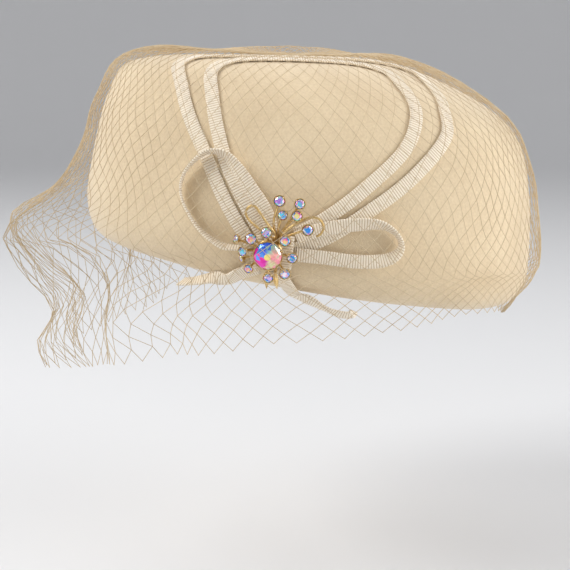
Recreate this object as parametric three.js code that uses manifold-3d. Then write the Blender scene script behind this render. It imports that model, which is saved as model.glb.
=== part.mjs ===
// A pillbox hat of cream felt with two ribbon bands, a ribbon bow, a stone-set brooch and a net veil.
// Millimetres. +X is the wearer's left, -Y the front and +Z up. The origin is the middle of the opening.
import * as THREE from "three";
import { ConvexGeometry } from "three/addons/geometries/ConvexGeometry.js";
import { mergeVertices } from "three/addons/utils/BufferGeometryUtils.js";
import Module from "manifold-3d";

const wasm = await Module();
wasm.setup();

// Crown
const crownLength = 229; // front to back at the fullest line
const crownWidth = 211; // side to side at the fullest line
const crownHeight = 110; // from the middle of the opening to the top
const feltThickness = 2.5;
const squareness = 2.25; // 2 makes each level an ellipse, more makes it squarer
const crownColumns = 32;
const crownStepsPerRow = 2;
const tipLevel = 7 / 9; // where the wall ends and the tip starts
const tipSeam = 0.002; // share of the profile that the seam between them takes

// Ribbon of the bands and the bow
const ribbonWidth = 6.35;
const ribbonThickness = 1;
const seatGap = 0.3; // between a piece and what carries it
const bandGap = 0.65; // under a band, where the felt is round
const bandStepsPerSite = 2;

// Bow
const bowSite = { azimuth: -4.5, level: 0.3325 }; // where the knot sits on the near side
const knotWidth = 20;
const knotHeight = 15;
const knotDepth = 3.5;
const frontLoopReach = 47;
const backLoopReach = 60;
const frontTailReach = 40;
const backTailReach = 46;
const bowStepsPerStation = 2;
const hangSlack = 0.5; // a tail this far below the underside hangs straight down

// Brooch
const broochReach = 26.3; // from the knot to the topmost stone
const broochPlate = 1.2; // thickness of the plate that carries the stones
const centreStoneWidth = 12.8;
const smallStoneWidth = 4.6;
const cupWall = 0.4;
const cupFloor = 0.6;
const cupFoot = 0.55; // width of a cup's foot, as a share of its rim's
const stoneClearance = 0.25; // between a stone and its cup
const stoneDepth = 0.24; // share of a stone's width from its girdle's middle to its point
const girdleDepth = 0.02; // and to its girdle's edge
const smallStoneFacets = 8;
const centreStoneFacets = 12;
const wireWidth = 1;
const wireSides = 5;
const armRise = -0.6; // where arms and stems start, in wire widths above the plate
const armRoot = 0.4 * centreStoneWidth; // from the plate's middle to where its arms start
const leafLength = 4.8; // from its widest place to its tip
const leafWidth = 2.4;
const leafRidge = 1.4; // height of its middle above its back

// Veil
const veilReach = 46; // how far the veil stands out past the front of the crown
const veilDrop = 96; // from the fullest line to the hem, in front
const veilStrand = 1.5;
const veilThickness = 1;
const veilSeat = 1.4; // above the felt, where the veil is caught down on top
const veilLift = 4.3; // above the felt elsewhere
const veilBowLift = 12; // what the veil stands off more, over the bow and the brooch
const veilColumns = 24;
const veilSplit = 3; // the ring where the cap ends and the fall starts
const veilSplitGap = 0.125; // share of a ring's height between their knots

// Sections of the crown, from the edge of the opening to the middle of the top. Reaches are shares of
// half the crown's length or width, and heights are shares of its height.
const crownRows = {
  edge: { front: 0.856, frontUp: 0.2, side: 0.777, sideUp: 0.041, back: 0.873, backUp: -0.136 },
  roll: { front: 0.9, frontUp: 0.205, side: 0.863, sideUp: 0.027, back: 0.965, backUp: -0.141 },
  underside: { front: 0.93, frontUp: 0.273, side: 0.948, sideUp: 0.086, back: 1.035, backUp: -0.082 },
  fullest: { front: 0.939, frontUp: 0.382, side: 0.995, sideUp: 0.205, back: 1.061, backUp: 0.055 },
  wall: { front: 0.917, frontUp: 0.518, side: 1, sideUp: 0.418, back: 1.057, backUp: 0.364 },
  upperWall: { front: 0.882, frontUp: 0.691, side: 0.948, sideUp: 0.655, back: 1.009, backUp: 0.6 },
  shoulder: { front: 0.834, frontUp: 0.845, side: 0.844, sideUp: 0.836, back: 0.878, backUp: 0.75 },
  topEdge: { front: 0.742, frontUp: 0.973, side: 0.664, sideUp: 0.959, back: 0.581, backUp: 0.914 },
  tip: { front: 0.454, frontUp: 1.005, side: 0.398, sideUp: 0.995, back: 0.297, backUp: 0.986 },
  middle: { front: 0, frontUp: 0.991, side: 0, sideUp: 0.991, back: 0, backUp: 0.991 },
};

// Routes of the two bands: degrees round from the near side, and the level up the crown's sections. The
// ends are shares of the ribbon's width, forward (towards the back of the hat) and up from the knot.
const bands = [
  {
    name: "ribbon_band_inner",
    start: { forward: -0.66, up: 1.2 },
    end: { forward: 1.65, up: 1.2 },
    route: [
      { azimuth: -10.5, level: 0.432 },
      { azimuth: -16.5, level: 0.53 },
      { azimuth: -20.5, level: 0.642 },
      { azimuth: -23, level: 0.755 },
      { azimuth: -15, level: 0.815 },
      { azimuth: 8, level: 0.828 },
      { azimuth: 28, level: 0.815 },
      { azimuth: 36.5, level: 0.775 },
      { azimuth: 33, level: 0.718 },
      { azimuth: 28, level: 0.625 },
      { azimuth: 22.5, level: 0.55 },
      { azimuth: 12, level: 0.472 },
    ],
  },
  {
    name: "ribbon_band_outer",
    start: { forward: -1.5, up: 0.48 },
    end: { forward: 1.65, up: 0.1 },
    route: [
      { azimuth: -14.5, level: 0.42 },
      { azimuth: -20, level: 0.505 },
      { azimuth: -27, level: 0.605 },
      { azimuth: -33, level: 0.708 },
      { azimuth: -38, level: 0.785 },
      { azimuth: -34, level: 0.85 },
      { azimuth: -5, level: 0.872 },
      { azimuth: 32, level: 0.87 },
      { azimuth: 58, level: 0.835 },
      { azimuth: 61, level: 0.782 },
      { azimuth: 51, level: 0.735 },
      { azimuth: 40.5, level: 0.66 },
      { azimuth: 35, level: 0.58 },
      { azimuth: 24.5, level: 0.503 },
      { azimuth: 12.5, level: 0.43 },
    ],
  },
];

// Stations along the bow's loops and tails. Forward and up are shares of the piece's reach, lift is the
// height of the ribbon's middle above the felt in ribbon widths, and lean turns it from flat to on edge.
const bowPieces = [
  {
    name: "bow_loop_front",
    reach: frontLoopReach,
    stations: [
      { forward: 0, up: 0.175, lift: 0.5, lean: 0 },
      { forward: -0.03, up: 0.32, lift: 0.5, lean: 0 },
      { forward: -0.09, up: 0.44, lift: 0.5, lean: 0 },
      { forward: -0.188, up: 0.586, lift: 0.52, lean: -8 },
      { forward: -0.286, up: 0.729, lift: 0.6, lean: -20 },
      { forward: -0.398, up: 0.866, lift: 0.75, lean: -48 },
      { forward: -0.49, up: 0.914, lift: 0.85, lean: -74 },
      { forward: -0.6, up: 0.908, lift: 0.86, lean: -88 },
      { forward: -0.711, up: 0.831, lift: 0.86, lean: -90 },
      { forward: -0.805, up: 0.719, lift: 0.82, lean: -90 },
      { forward: -0.848, up: 0.6, lift: 0.72, lean: -90 },
      { forward: -0.839, up: 0.48, lift: 0.68, lean: -90 },
      { forward: -0.785, up: 0.36, lift: 0.68, lean: -90 },
      { forward: -0.695, up: 0.226, lift: 0.68, lean: -90 },
      { forward: -0.585, up: 0.129, lift: 0.7, lean: -90 },
      { forward: -0.449, up: 0.057, lift: 0.76, lean: -90 },
      { forward: -0.36, up: 0.043, lift: 0.7, lean: -90 },
      { forward: -0.29, up: 0.036, lift: 0.62, lean: -90 },
    ],
  },
  {
    name: "bow_loop_back",
    reach: backLoopReach,
    stations: [
      { forward: 0.184, up: 0.1, lift: 0.5, lean: 0 },
      { forward: 0.313, up: 0.15, lift: 0.5, lean: 0 },
      { forward: 0.5, up: 0.184, lift: 0.5, lean: 6 },
      { forward: 0.653, up: 0.196, lift: 0.54, lean: 20 },
      { forward: 0.78, up: 0.194, lift: 0.6, lean: 42 },
      { forward: 0.867, up: 0.165, lift: 0.66, lean: 66 },
      { forward: 0.936, up: 0.105, lift: 0.7, lean: 84 },
      { forward: 0.965, up: 0.036, lift: 0.7, lean: 88 },
      { forward: 0.936, up: -0.03, lift: 0.68, lean: 70 },
      { forward: 0.867, up: -0.07, lift: 0.62, lean: 44 },
      { forward: 0.762, up: -0.085, lift: 0.55, lean: 20 },
      { forward: 0.596, up: -0.078, lift: 0.5, lean: 6 },
      { forward: 0.399, up: -0.048, lift: 0.5, lean: 0 },
      { forward: 0.187, up: -0.026, lift: 0.5, lean: 0 },
    ],
  },
  {
    name: "bow_tail_front",
    reach: frontTailReach,
    stations: [
      { forward: -0.15, up: -0.157, lift: 0.8, lean: 0 },
      { forward: -0.354, up: -0.245, lift: 0.58, lean: 0 },
      { forward: -0.492, up: -0.32, lift: 0.52, lean: 10 },
      { forward: -0.62, up: -0.375, lift: 0.6, lean: 30 },
      { forward: -0.729, up: -0.403, lift: 0.68, lean: 50 },
      { forward: -0.84, up: -0.43, lift: 0.72, lean: 62 },
      { forward: -0.94, up: -0.441, lift: 0.72, lean: 66 },
    ],
  },
  {
    name: "bow_tail_back",
    reach: backTailReach,
    stations: [
      { forward: 0.06, up: -0.155, lift: 0.82, lean: 0 },
      { forward: 0.127, up: -0.275, lift: 0.6, lean: 0 },
      { forward: 0.235, up: -0.43, lift: 0.5, lean: 0 },
      { forward: 0.388, up: -0.545, lift: 0.5, lean: 0 },
      { forward: 0.549, up: -0.644, lift: 0.52, lean: 8 },
      { forward: 0.67, up: -0.695, lift: 0.58, lean: 30 },
      { forward: 0.755, up: -0.695, lift: 0.64, lean: 56 },
      { forward: 0.782, up: -0.622, lift: 0.66, lean: 70 },
    ],
  },
];

// Small stones of the brooch. Across and up are shares of the brooch's reach from the knot, rise is the
// height of the cup above the plate and width the stone's, in small stone widths, and tilt turns the
// stone away from the middle of the brooch.
const smallStones = [
  { name: "stem_tip_left", across: 0.17, up: 1, rise: 0.85, width: 1, tilt: 8 },
  { name: "stem_tip_right", across: 0.51, up: 0.95, rise: 0.75, width: 0.92, tilt: 10 },
  { name: "stem_low_left", across: 0.22, up: 0.738, rise: 0.45, width: 0.88, tilt: 4 },
  { name: "stem_low_right", across: 0.46, up: 0.734, rise: 0.55, width: 0.96, tilt: 6 },
  { name: "spiral", across: 0.635, up: 0.475, rise: 0.3, width: 1, tilt: 10 },
  { name: "crown_left", across: -0.06, up: 0.41, rise: 0.3, width: 1, tilt: 8 },
  { name: "shoulder_left", across: -0.315, up: 0.295, rise: 0.35, width: 1.06, tilt: 12 },
  { name: "outer_left", across: -0.54, up: 0.25, rise: 0.1, width: 0.8, tilt: 62 },
  { name: "side_left_high", across: -0.455, up: 0.08, rise: 0.55, width: 0.84, tilt: 14 },
  { name: "side_left_mid", across: -0.455, up: -0.08, rise: -0.1, width: 0.7, tilt: 66 },
  { name: "side_left_low", across: -0.36, up: -0.225, rise: 0.4, width: 0.84, tilt: 14 },
  { name: "foot_left", across: -0.035, up: -0.385, rise: 0.3, width: 0.94, tilt: 10 },
  { name: "foot_right", across: 0.245, up: -0.3, rise: 0.35, width: 1, tilt: 10 },
  { name: "side_right", across: 0.37, up: -0.025, rise: 0.3, width: 0.94, tilt: 10 },
  { name: "hub_right", across: 0.255, up: 0.275, rise: 0.3, width: 1, tilt: 6 },
];
// Some small stones stand on a stem from the hub, through one bend. The others stand on short arms from
// the plate. Across and up are shares of the brooch's reach, and rise is in wire widths.
const stems = {
  stem_tip_left: { across: 0.06, up: 0.6, rise: 2.4 },
  stem_tip_right: { across: 0.34, up: 0.64, rise: 0.7 },
  stem_low_left: { across: 0.14, up: 0.5, rise: 1.2 },
  stem_low_right: { across: 0.24, up: 0.48, rise: 1.2 },
  spiral: { across: 0.4, up: 0.38, rise: 0.4 },
};
const centreStoneSeat = { across: -0.038, up: 0.008, rise: 0 };
const hub = { across: 0.114, up: 0.25, rise: 0.25, radius: 0.085 };

// Curled wires of the brooch, from the hub. Across and up are shares of the brooch's reach, and rise is
// in wire widths above the plate.
const curlSteps = 12;
const stemSteps = 4;
const armSteps = 2;
const curls = {
  leftLoop: [
    { across: 0.08, up: 0.26, rise: -0.3 },
    { across: -0.18, up: 0.46, rise: 1.6 },
    { across: -0.36, up: 0.63, rise: 2.4 },
    { across: -0.415, up: 0.76, rise: 2.4 },
    { across: -0.36, up: 0.86, rise: 2.4 },
    { across: -0.265, up: 0.876, rise: 2.4 },
    { across: -0.19, up: 0.79, rise: 2.4 },
    { across: -0.03, up: 0.56, rise: 3.2 },
    { across: 0.075, up: 0.42, rise: 2.4 },
    { across: 0.11, up: 0.26, rise: 0 },
  ],
  rightSpiral: [
    { across: 0.13, up: 0.26, rise: 0 },
    { across: 0.24, up: 0.43, rise: 3.2 },
    { across: 0.42, up: 0.585, rise: 3.8 },
    { across: 0.6, up: 0.675, rise: 3 },
    { across: 0.71, up: 0.7, rise: 2.4 },
    { across: 0.84, up: 0.665, rise: 2 },
    { across: 0.91, up: 0.535, rise: 1.8 },
    { across: 0.87, up: 0.41, rise: 1.6 },
    { across: 0.79, up: 0.35, rise: 1.5 },
  ],
};
const leaves = [
  { across: -0.08, up: -0.47, turn: 0.02 },
  { across: 0.085, up: -0.47, turn: 0.12 },
];

// Rings of the veil from the top down, at the front, its quarter, the side, the back quarter and the
// back. Level is the level up the crown that a ring follows, out is a share of the veil's reach past it,
// and down a share of the veil's drop below it. Steps is how many pieces each strand above it bends in.
const veilRings = [
  { level: 0.95, steps: 0, out: [0, 0, 0, 0, 0], down: [0, 0, 0, 0, 0] },
  { level: 0.8, steps: 2, out: [0, 0, 0, 0, 0], down: [0, 0, 0, 0, 0] },
  { level: 0.64, steps: 2, out: [0.13, 0.05, 0, 0, 0], down: [0, 0, 0, 0, 0] },
  { level: 0.5, steps: 2, out: [0.32, 0.14, 0, 0, 0], down: [0, 0, 0, 0, 0] },
  { level: 0.333, steps: 2, out: [0.93, 0.5, 0, 0, 0.12], down: [0.2, 0.1, 0, 0, -0.1] },
  { level: 0.333, steps: 1, out: [0.42, 0.22, -0.02, -0.02, 0.04], down: [0.68, 0.47, 0.3, 0.22, 0.17] },
  { level: 0.333, steps: 1, out: [0.3, 0.16, -0.06, -0.12, -0.3], down: [1, 0.76, 0.5, 0.34, 0.35] },
];
// The oval in which the veil stands off more over the bow, in shares of both loops' reaches added up. It
// fades from full to none between two shares of the oval.
const veilOval = { forward: 0.093, up: 0.047, halfWidth: 0.71, halfHeight: 0.58, full: 0.75, none: 1.3 };

// Steps small enough to find a surface's slope: degrees round and a share of its profile
const smallTurn = 0.2;
const smallRise = 0.002;
const weldDistance = 1e-4;
const sliverSize = 0.02; // finer facets than this are merged after pieces are joined

// Hidden seats
const knotSeat = bandGap + ribbonThickness + seatGap;
const broochSeat = knotSeat + knotDepth + seatGap;

const felt = new THREE.MeshStandardMaterial({ color: 0xe9d5b2, roughness: 0.95 });
const grosgrain = new THREE.MeshStandardMaterial({ color: 0xede0ca, roughness: 0.7 });
const gold = new THREE.MeshStandardMaterial({ color: 0xb08a45, roughness: 0.35, metalness: 1 });
const crystal = new THREE.MeshStandardMaterial({ color: 0xc9b8ee, roughness: 0.05 });
const net = new THREE.MeshStandardMaterial({ color: 0xcbb38a, roughness: 0.85 });

// A smooth curve through points.
function curveThrough(points, closed = false) {
  return new THREE.CatmullRomCurve3(points, closed, "catmullrom", 0.5);
}

// A closed geometry from corner points and faces, each face a polygon of point numbers, anticlockwise
// from outside.
function closedGeometry(points, faces) {
  const index = [];
  for (const [first, ...rest] of faces) {
    for (let i = 1; i < rest.length; i++) {
      index.push(first, rest[i - 1], rest[i]);
    }
  }
  const geometry = new THREE.BufferGeometry().setFromPoints(points);
  geometry.setIndex(index);
  geometry.computeVertexNormals();
  return geometry;
}

// One section of the crown at an azimuth in degrees, 0 on the near side and 90 at the back.
function sectionPoint(row, azimuth) {
  const angle = THREE.MathUtils.degToRad(azimuth);
  const spread = (value) => Math.sign(value) * Math.abs(value) ** (2 / squareness);
  const across = spread(Math.cos(angle));
  const along = spread(Math.sin(angle));
  const reach = along > 0 ? row.back : row.front;
  const slope = (row.backUp - row.frontUp) / 2;
  const bend = (row.backUp + row.frontUp) / 2 - row.sideUp;
  return new THREE.Vector3(
    (row.side * across * crownWidth) / 2,
    (reach * along * crownLength) / 2,
    (row.sideUp + slope * along + bend * along ** 2) * crownHeight,
  );
}

// The crown's outer face at a level from 0, the edge of the opening, to 1, the middle of the top.
function crownPoint(azimuth, level) {
  const profile = Object.values(crownRows).map((row) => sectionPoint(row, azimuth));
  return curveThrough(profile).getPoint(level);
}

// The way out of a surface whose place is a function of an azimuth and a share along its profile.
function outwardNormal(surface, azimuth, share) {
  const low = Math.max(share - smallRise, 0);
  const high = Math.min(share + smallRise, 1);
  const round = surface(azimuth + smallTurn, share).sub(surface(azimuth - smallTurn, share));
  const along = surface(azimuth, high).sub(surface(azimuth, low));
  return round.cross(along).normalize();
}

// A felt shell between two levels: its outer face, an inner face one felt thickness in, and its edges. It
// closes over where the last level is the middle of the top.
function shellGeometry(firstLevel, lastLevel) {
  const steps = Math.round((lastLevel - firstLevel) * crownStepsPerRow * (Object.keys(crownRows).length - 1));
  const closes = lastLevel === 1;
  const rings = closes ? steps : steps + 1;
  const outer = [];
  const inner = [];
  for (let i = 0; i < rings; i++) {
    const level = THREE.MathUtils.lerp(firstLevel, lastLevel, i / steps);
    for (let j = 0; j < crownColumns; j++) {
      const azimuth = (360 * j) / crownColumns;
      const place = crownPoint(azimuth, level);
      outer.push(place);
      const normal = outwardNormal(crownPoint, azimuth, level);
      inner.push(place.clone().addScaledVector(normal, -feltThickness));
    }
  }
  if (closes) {
    const top = crownPoint(0, 1);
    outer.push(top);
    inner.push(top.clone().setZ(top.z - feltThickness));
  }
  const inward = outer.length;
  const last = (rings - 1) * crownColumns;
  const faces = [];
  for (let j = 0; j < crownColumns; j++) {
    const next = (j + 1) % crownColumns;
    faces.push([j, j + inward, next + inward, next]);
    for (let low = 0; low < last; low += crownColumns) {
      const high = low + crownColumns;
      faces.push([low + j, low + next, high + next, high + j]);
      faces.push([low + j, high + j, high + next, low + next].map((k) => k + inward));
    }
    if (closes) {
      faces.push([last + j, last + next, inward - 1]);
      faces.push([last + next, last + j, inward - 1].map((k) => k + inward));
    } else {
      faces.push([last + j, last + next, last + next + inward, last + j + inward]);
    }
  }
  return closedGeometry([...outer, ...inner], faces);
}

// The site on the crown's near face that lies forward and up from the knot, found by stepping to it
// between the lowest and the highest level of that face.
const siteSearch = { steps: 12, lowest: 0.14, highest: 0.8 };

function siteFromKnot(forward, up) {
  const knot = crownPoint(bowSite.azimuth, bowSite.level);
  const site = { ...bowSite };
  for (let i = 0; i < siteSearch.steps; i++) {
    const here = crownPoint(site.azimuth, site.level);
    const round = crownPoint(site.azimuth + smallTurn, site.level).sub(here).divideScalar(smallTurn);
    const along = crownPoint(site.azimuth, site.level + smallRise).sub(here).divideScalar(smallRise);
    const missY = knot.y + forward - here.y;
    const missZ = knot.z + up - here.z;
    const determinant = round.y * along.z - along.y * round.z;
    site.azimuth += (missY * along.z - along.y * missZ) / determinant;
    site.level += (round.y * missZ - missY * round.z) / determinant;
    site.level = THREE.MathUtils.clamp(site.level, siteSearch.lowest, siteSearch.highest);
  }
  return site;
}

// The felt beside the bow and its way out. Below the underside a tail hangs straight down.
function besideKnot(forward, up) {
  const site = siteFromKnot(forward, up);
  const place = crownPoint(site.azimuth, site.level);
  const normal = outwardNormal(crownPoint, site.azimuth, site.level);
  const height = crownPoint(bowSite.azimuth, bowSite.level).z + up;
  if (height < place.z - hangSlack) {
    normal.setZ(0).normalize();
    place.setZ(height);
  }
  return { place, normal };
}

// A flat strip through stations, each with its middle, its direction across and its direction through.
function stripGeometry(stations, width, thickness) {
  const corners = [
    [-0.5, -0.5],
    [0.5, -0.5],
    [0.5, 0.5],
    [-0.5, 0.5],
  ];
  const points = stations.flatMap(({ middle, across, through }) =>
    corners.map(([side, face]) =>
      middle
        .clone()
        .addScaledVector(across, side * width)
        .addScaledVector(through, face * thickness),
    ),
  );
  const faces = [[3, 2, 1, 0]];
  for (let i = 4; i < points.length; i += 4) {
    for (let k = 0; k < 4; k++) {
      const next = (k + 1) % 4;
      faces.push([i - 4 + k, i - 4 + next, i + next, i + k]);
    }
  }
  const last = points.length - 4;
  faces.push([last, last + 1, last + 2, last + 3]);
  return closedGeometry(points, faces);
}

// A band lies flat on the felt along its route, from one side of the knot over the top to the other.
function bandGeometry({ start, end, route }) {
  const [first, last] = [start, end].map(({ forward, up }) =>
    siteFromKnot(forward * ribbonWidth, up * ribbonWidth),
  );
  const sites = [first, ...route, last].map(({ azimuth, level }) => new THREE.Vector3(azimuth, level, 0));
  const curve = curveThrough(sites);
  const steps = bandStepsPerSite * (sites.length - 1);
  const middles = [];
  const normals = [];
  for (let i = 0; i <= steps; i++) {
    const { x: azimuth, y: level } = curve.getPoint(i / steps);
    const normal = outwardNormal(crownPoint, azimuth, level);
    const lift = bandGap + ribbonThickness / 2;
    middles.push(crownPoint(azimuth, level).addScaledVector(normal, lift));
    normals.push(normal);
  }
  const stations = middles.map((middle, i) => {
    const ahead = middles[Math.min(i + 1, steps)].clone().sub(middles[Math.max(i - 1, 0)]);
    const across = normals[i].clone().cross(ahead).normalize();
    return { middle, across, through: normals[i] };
  });
  return stripGeometry(stations, ribbonWidth, ribbonThickness);
}

// A piece of the bow follows its stations over the felt and leans from flat to on edge.
function bowGeometry({ reach, stations }) {
  const rows = stations.map(({ forward, up, lift }) => {
    const { place, normal } = besideKnot(forward * reach, up * reach);
    return { middle: place.addScaledVector(normal, lift * ribbonWidth), normal };
  });
  const middles = curveThrough(rows.map((row) => row.middle));
  const normals = curveThrough(rows.map((row) => row.normal));
  const steps = bowStepsPerStation * (rows.length - 1);
  const strip = [];
  for (let i = 0; i <= steps; i++) {
    const share = i / steps;
    const at = i / bowStepsPerStation;
    const station = Math.min(Math.floor(at), stations.length - 2);
    const lean = THREE.MathUtils.lerp(stations[station].lean, stations[station + 1].lean, at - station);
    const ahead = middles.getTangent(share);
    const normal = normals.getPoint(share).normalize();
    const flat = normal.clone().cross(ahead).normalize();
    const across = flat.applyAxisAngle(ahead, THREE.MathUtils.degToRad(lean));
    const through = ahead.clone().cross(across).normalize();
    strip.push({ middle: middles.getPoint(share), across, through });
  }
  return stripGeometry(strip, ribbonWidth, ribbonThickness);
}

// The knot is a low cushion of wound ribbon.
function knotGeometry() {
  const bevel = knotDepth / 3;
  const outline = new THREE.Shape();
  outline.absellipse(0, 0, knotWidth / 2 - bevel, knotHeight / 2 - bevel, 0, 2 * Math.PI);
  const geometry = new THREE.ExtrudeGeometry(outline, {
    depth: knotDepth - 2 * bevel,
    bevelSize: bevel,
    bevelThickness: bevel,
    bevelSegments: 1,
    curveSegments: 8,
  });
  return geometry.translate(0, 0, bevel);
}

// A stone cut with a table, two rows of facets, a girdle and a point behind. Its girdle lies at height 0.
function stoneGeometry(width, facets) {
  const rings = [
    { radius: 0.28, height: 0.17, turn: 0 },
    { radius: 0.42, height: 0.1, turn: 0.5 },
    { radius: 0.5, height: girdleDepth, turn: 0 },
    { radius: 0.5, height: -girdleDepth, turn: 0 },
  ];
  const points = rings.flatMap(({ radius, height, turn }) =>
    Array.from({ length: facets }, (_, i) => {
      const angle = (2 * Math.PI * (i + turn)) / facets;
      return new THREE.Vector3(Math.cos(angle), Math.sin(angle), 0)
        .multiplyScalar(radius * width)
        .setZ(height * width);
    }),
  );
  return new ConvexGeometry([...points, new THREE.Vector3(0, 0, -stoneDepth * width)]);
}

// A flared cup whose rim ends at the stone's girdle and whose hollow runs parallel to the stone's back. It
// stands on height 0, on a narrow foot.
function cupGeometry(width, sides) {
  const inside = width / 2 + stoneClearance;
  const outside = inside + cupWall;
  const rim = cupHeight(width);
  const slope = 2 * (stoneDepth - girdleDepth);
  const profile = [
    [0, 0],
    [outside * cupFoot, 0],
    [outside, rim],
    [inside, rim],
    [inside, cupFloor + slope * inside],
    [0, cupFloor],
  ];
  const lathe = new THREE.LatheGeometry(profile.map(([x, y]) => new THREE.Vector2(x, y)), sides);
  return lathe.rotateX(Math.PI / 2);
}

function cupHeight(width) {
  return cupFloor + stoneClearance + stoneDepth * width;
}

// The place of a stone's cup in the brooch: its foot, and the turn that tilts it away from the middle.
function cupPlace({ across, up, rise, tilt }) {
  const middle = new THREE.Vector2(centreStoneSeat.across, centreStoneSeat.up);
  const away = new THREE.Vector2(across, up).sub(middle).normalize();
  const axis = new THREE.Vector3(-away.y, away.x, 0);
  return new THREE.Matrix4()
    .makeRotationAxis(axis, THREE.MathUtils.degToRad(tilt))
    .setPosition(across * broochReach, up * broochReach, broochPlate + rise * smallStoneWidth);
}

function centreCupPlace() {
  const { across, up } = centreStoneSeat;
  const height = broochPlate - cupFloor / 2;
  return new THREE.Matrix4().makeTranslation(across * broochReach, up * broochReach, height);
}

// A round wire through points in the brooch's plane.
function wireGeometry(points, steps) {
  const section = new THREE.Shape();
  for (let i = 0; i < wireSides; i++) {
    const angle = (2 * Math.PI * i) / wireSides;
    const [x, y] = [(wireWidth / 2) * Math.cos(angle), (wireWidth / 2) * Math.sin(angle)];
    if (i === 0) section.moveTo(x, y);
    else section.lineTo(x, y);
  }
  return new THREE.ExtrudeGeometry(section, { steps, extrudePath: curveThrough(points) });
}

function wirePoint({ across, up, rise }) {
  return new THREE.Vector3(across * broochReach, up * broochReach, broochPlate + rise * wireWidth);
}

// A pointed leaf below the stones, ridged along its middle.
function leafGeometry({ across, up, turn }) {
  const half = leafWidth / 2;
  const edge = leafRidge / 4;
  const points = [
    [0, leafLength, edge],
    [half, 0, edge],
    [-half, 0, edge],
    [0, -leafLength, edge],
    [0, 0, leafRidge],
    [0, 0, 0],
  ].map(([x, y, z]) => new THREE.Vector3(x, y, z));
  return new ConvexGeometry(points)
    .rotateZ(turn)
    .translate(across * broochReach, up * broochReach, 0);
}

// A closed geometry as a solid that can be joined and cut.
function toSolid(geometry) {
  const bare = geometry.clone();
  bare.deleteAttribute("normal");
  bare.deleteAttribute("uv");
  const merged = mergeVertices(bare, weldDistance);
  const indexed = merged.index ? merged : mergeVertices(bare.toNonIndexed(), weldDistance);
  return new wasm.Manifold(
    new wasm.Mesh({
      numProp: 3,
      vertProperties: indexed.attributes.position.array,
      triVerts: new Uint32Array(indexed.index.array),
    }),
  );
}

function fromSolid(solid) {
  const { vertProperties, triVerts } = solid.getMesh();
  const geometry = new THREE.BufferGeometry();
  geometry.setAttribute("position", new THREE.BufferAttribute(vertProperties, 3));
  geometry.setIndex(new THREE.BufferAttribute(triVerts, 1));
  geometry.computeVertexNormals();
  return geometry;
}

// The arm or stem that carries a small stone, from the plate or the hub to the foot of its cup.
function armGeometry(stone) {
  const foot = new THREE.Vector3(0, 0, cupFloor / 4).applyMatrix4(cupPlace(stone));
  if (stone.name in stems) {
    const root = wirePoint({ ...hub, rise: armRise });
    return wireGeometry([root, wirePoint(stems[stone.name]), foot], stemSteps);
  }
  const root = wirePoint({ ...centreStoneSeat, rise: armRise });
  const away = foot.clone().sub(root).setZ(0).normalize();
  root.addScaledVector(away, armRoot);
  const bend = root.clone().lerp(foot, 0.5).setZ(root.z);
  return wireGeometry([root, bend, foot], armSteps);
}

// The brooch's metal is soldered into one piece: plate, hub, arms, stems, cups, curled wires and leaves.
function broochFrameGeometry() {
  const disc = (seat, radius) => {
    const { x, y, z } = wirePoint(seat);
    return new THREE.CylinderGeometry(radius, radius, broochPlate, centreStoneFacets)
      .rotateX(Math.PI / 2)
      .translate(x, y, z - broochPlate / 2);
  };
  const pieces = [disc(centreStoneSeat, centreStoneWidth / 2), disc(hub, hub.radius * broochReach)];
  pieces.push(cupGeometry(centreStoneWidth, centreStoneFacets).applyMatrix4(centreCupPlace()));
  for (const stone of smallStones) {
    pieces.push(cupGeometry(stone.width * smallStoneWidth, smallStoneFacets).applyMatrix4(cupPlace(stone)));
    pieces.push(armGeometry(stone));
  }
  for (const points of Object.values(curls)) {
    pieces.push(wireGeometry(points.map(wirePoint), curlSteps));
  }
  for (const leaf of leaves) {
    const root = wirePoint({ across: leaf.across, up: centreStoneSeat.up, rise: armRise });
    root.y -= armRoot;
    pieces.push(wireGeometry([root, wirePoint({ ...leaf, rise: armRise })], 1), leafGeometry(leaf));
  }
  const joined = pieces.map(toSolid).reduce((whole, piece) => whole.add(piece));
  return fromSolid(joined.simplify(sliverSize));
}

// The veil as a smooth sheet: it follows the crown from the top down, then stands out and hangs free.
function veilPoint(azimuth, share) {
  const profile = veilRings.map(({ level, out, down }, ring) => {
    const around = [0, 1, 2, 3, 4, 3, 2, 1].map((i) => new THREE.Vector3(out[i], down[i], 0));
    const shift = curveThrough(around, true);
    const turn = (((azimuth + 90) / 360) % 1 + 1) % 1;
    const { x: outShare, y: downShare } = shift.getPoint(turn);
    const normal = outwardNormal(crownPoint, azimuth, level);
    const place = crownPoint(azimuth, level);
    place.addScaledVector(normal, ring === 0 ? veilSeat : veilLift);
    place.addScaledVector(normal.setZ(0).normalize(), outShare * veilReach);
    return place.setZ(place.z - downShare * veilDrop);
  });
  const place = curveThrough(profile).getPoint(share);
  const knot = crownPoint(bowSite.azimuth, bowSite.level);
  const bowReach = frontLoopReach + backLoopReach;
  const away = Math.hypot(
    ((place.y - knot.y) / bowReach - veilOval.forward) / veilOval.halfWidth,
    ((place.z - knot.z) / bowReach - veilOval.up) / veilOval.halfHeight,
  );
  if (place.x > 0) {
    place.x += veilBowLift * (1 - THREE.MathUtils.smoothstep(away, veilOval.full, veilOval.none));
  }
  return place;
}

// The corner between two strands that leave one knot of the net, half a strand away from both.
function cornerBetween(one, other) {
  const between = one.clone().add(other).normalize();
  const halfAngleSine = Math.sqrt((1 - one.dot(other)) / 2);
  return between.multiplyScalar(veilStrand / 2 / halfAngleSine);
}

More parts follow.
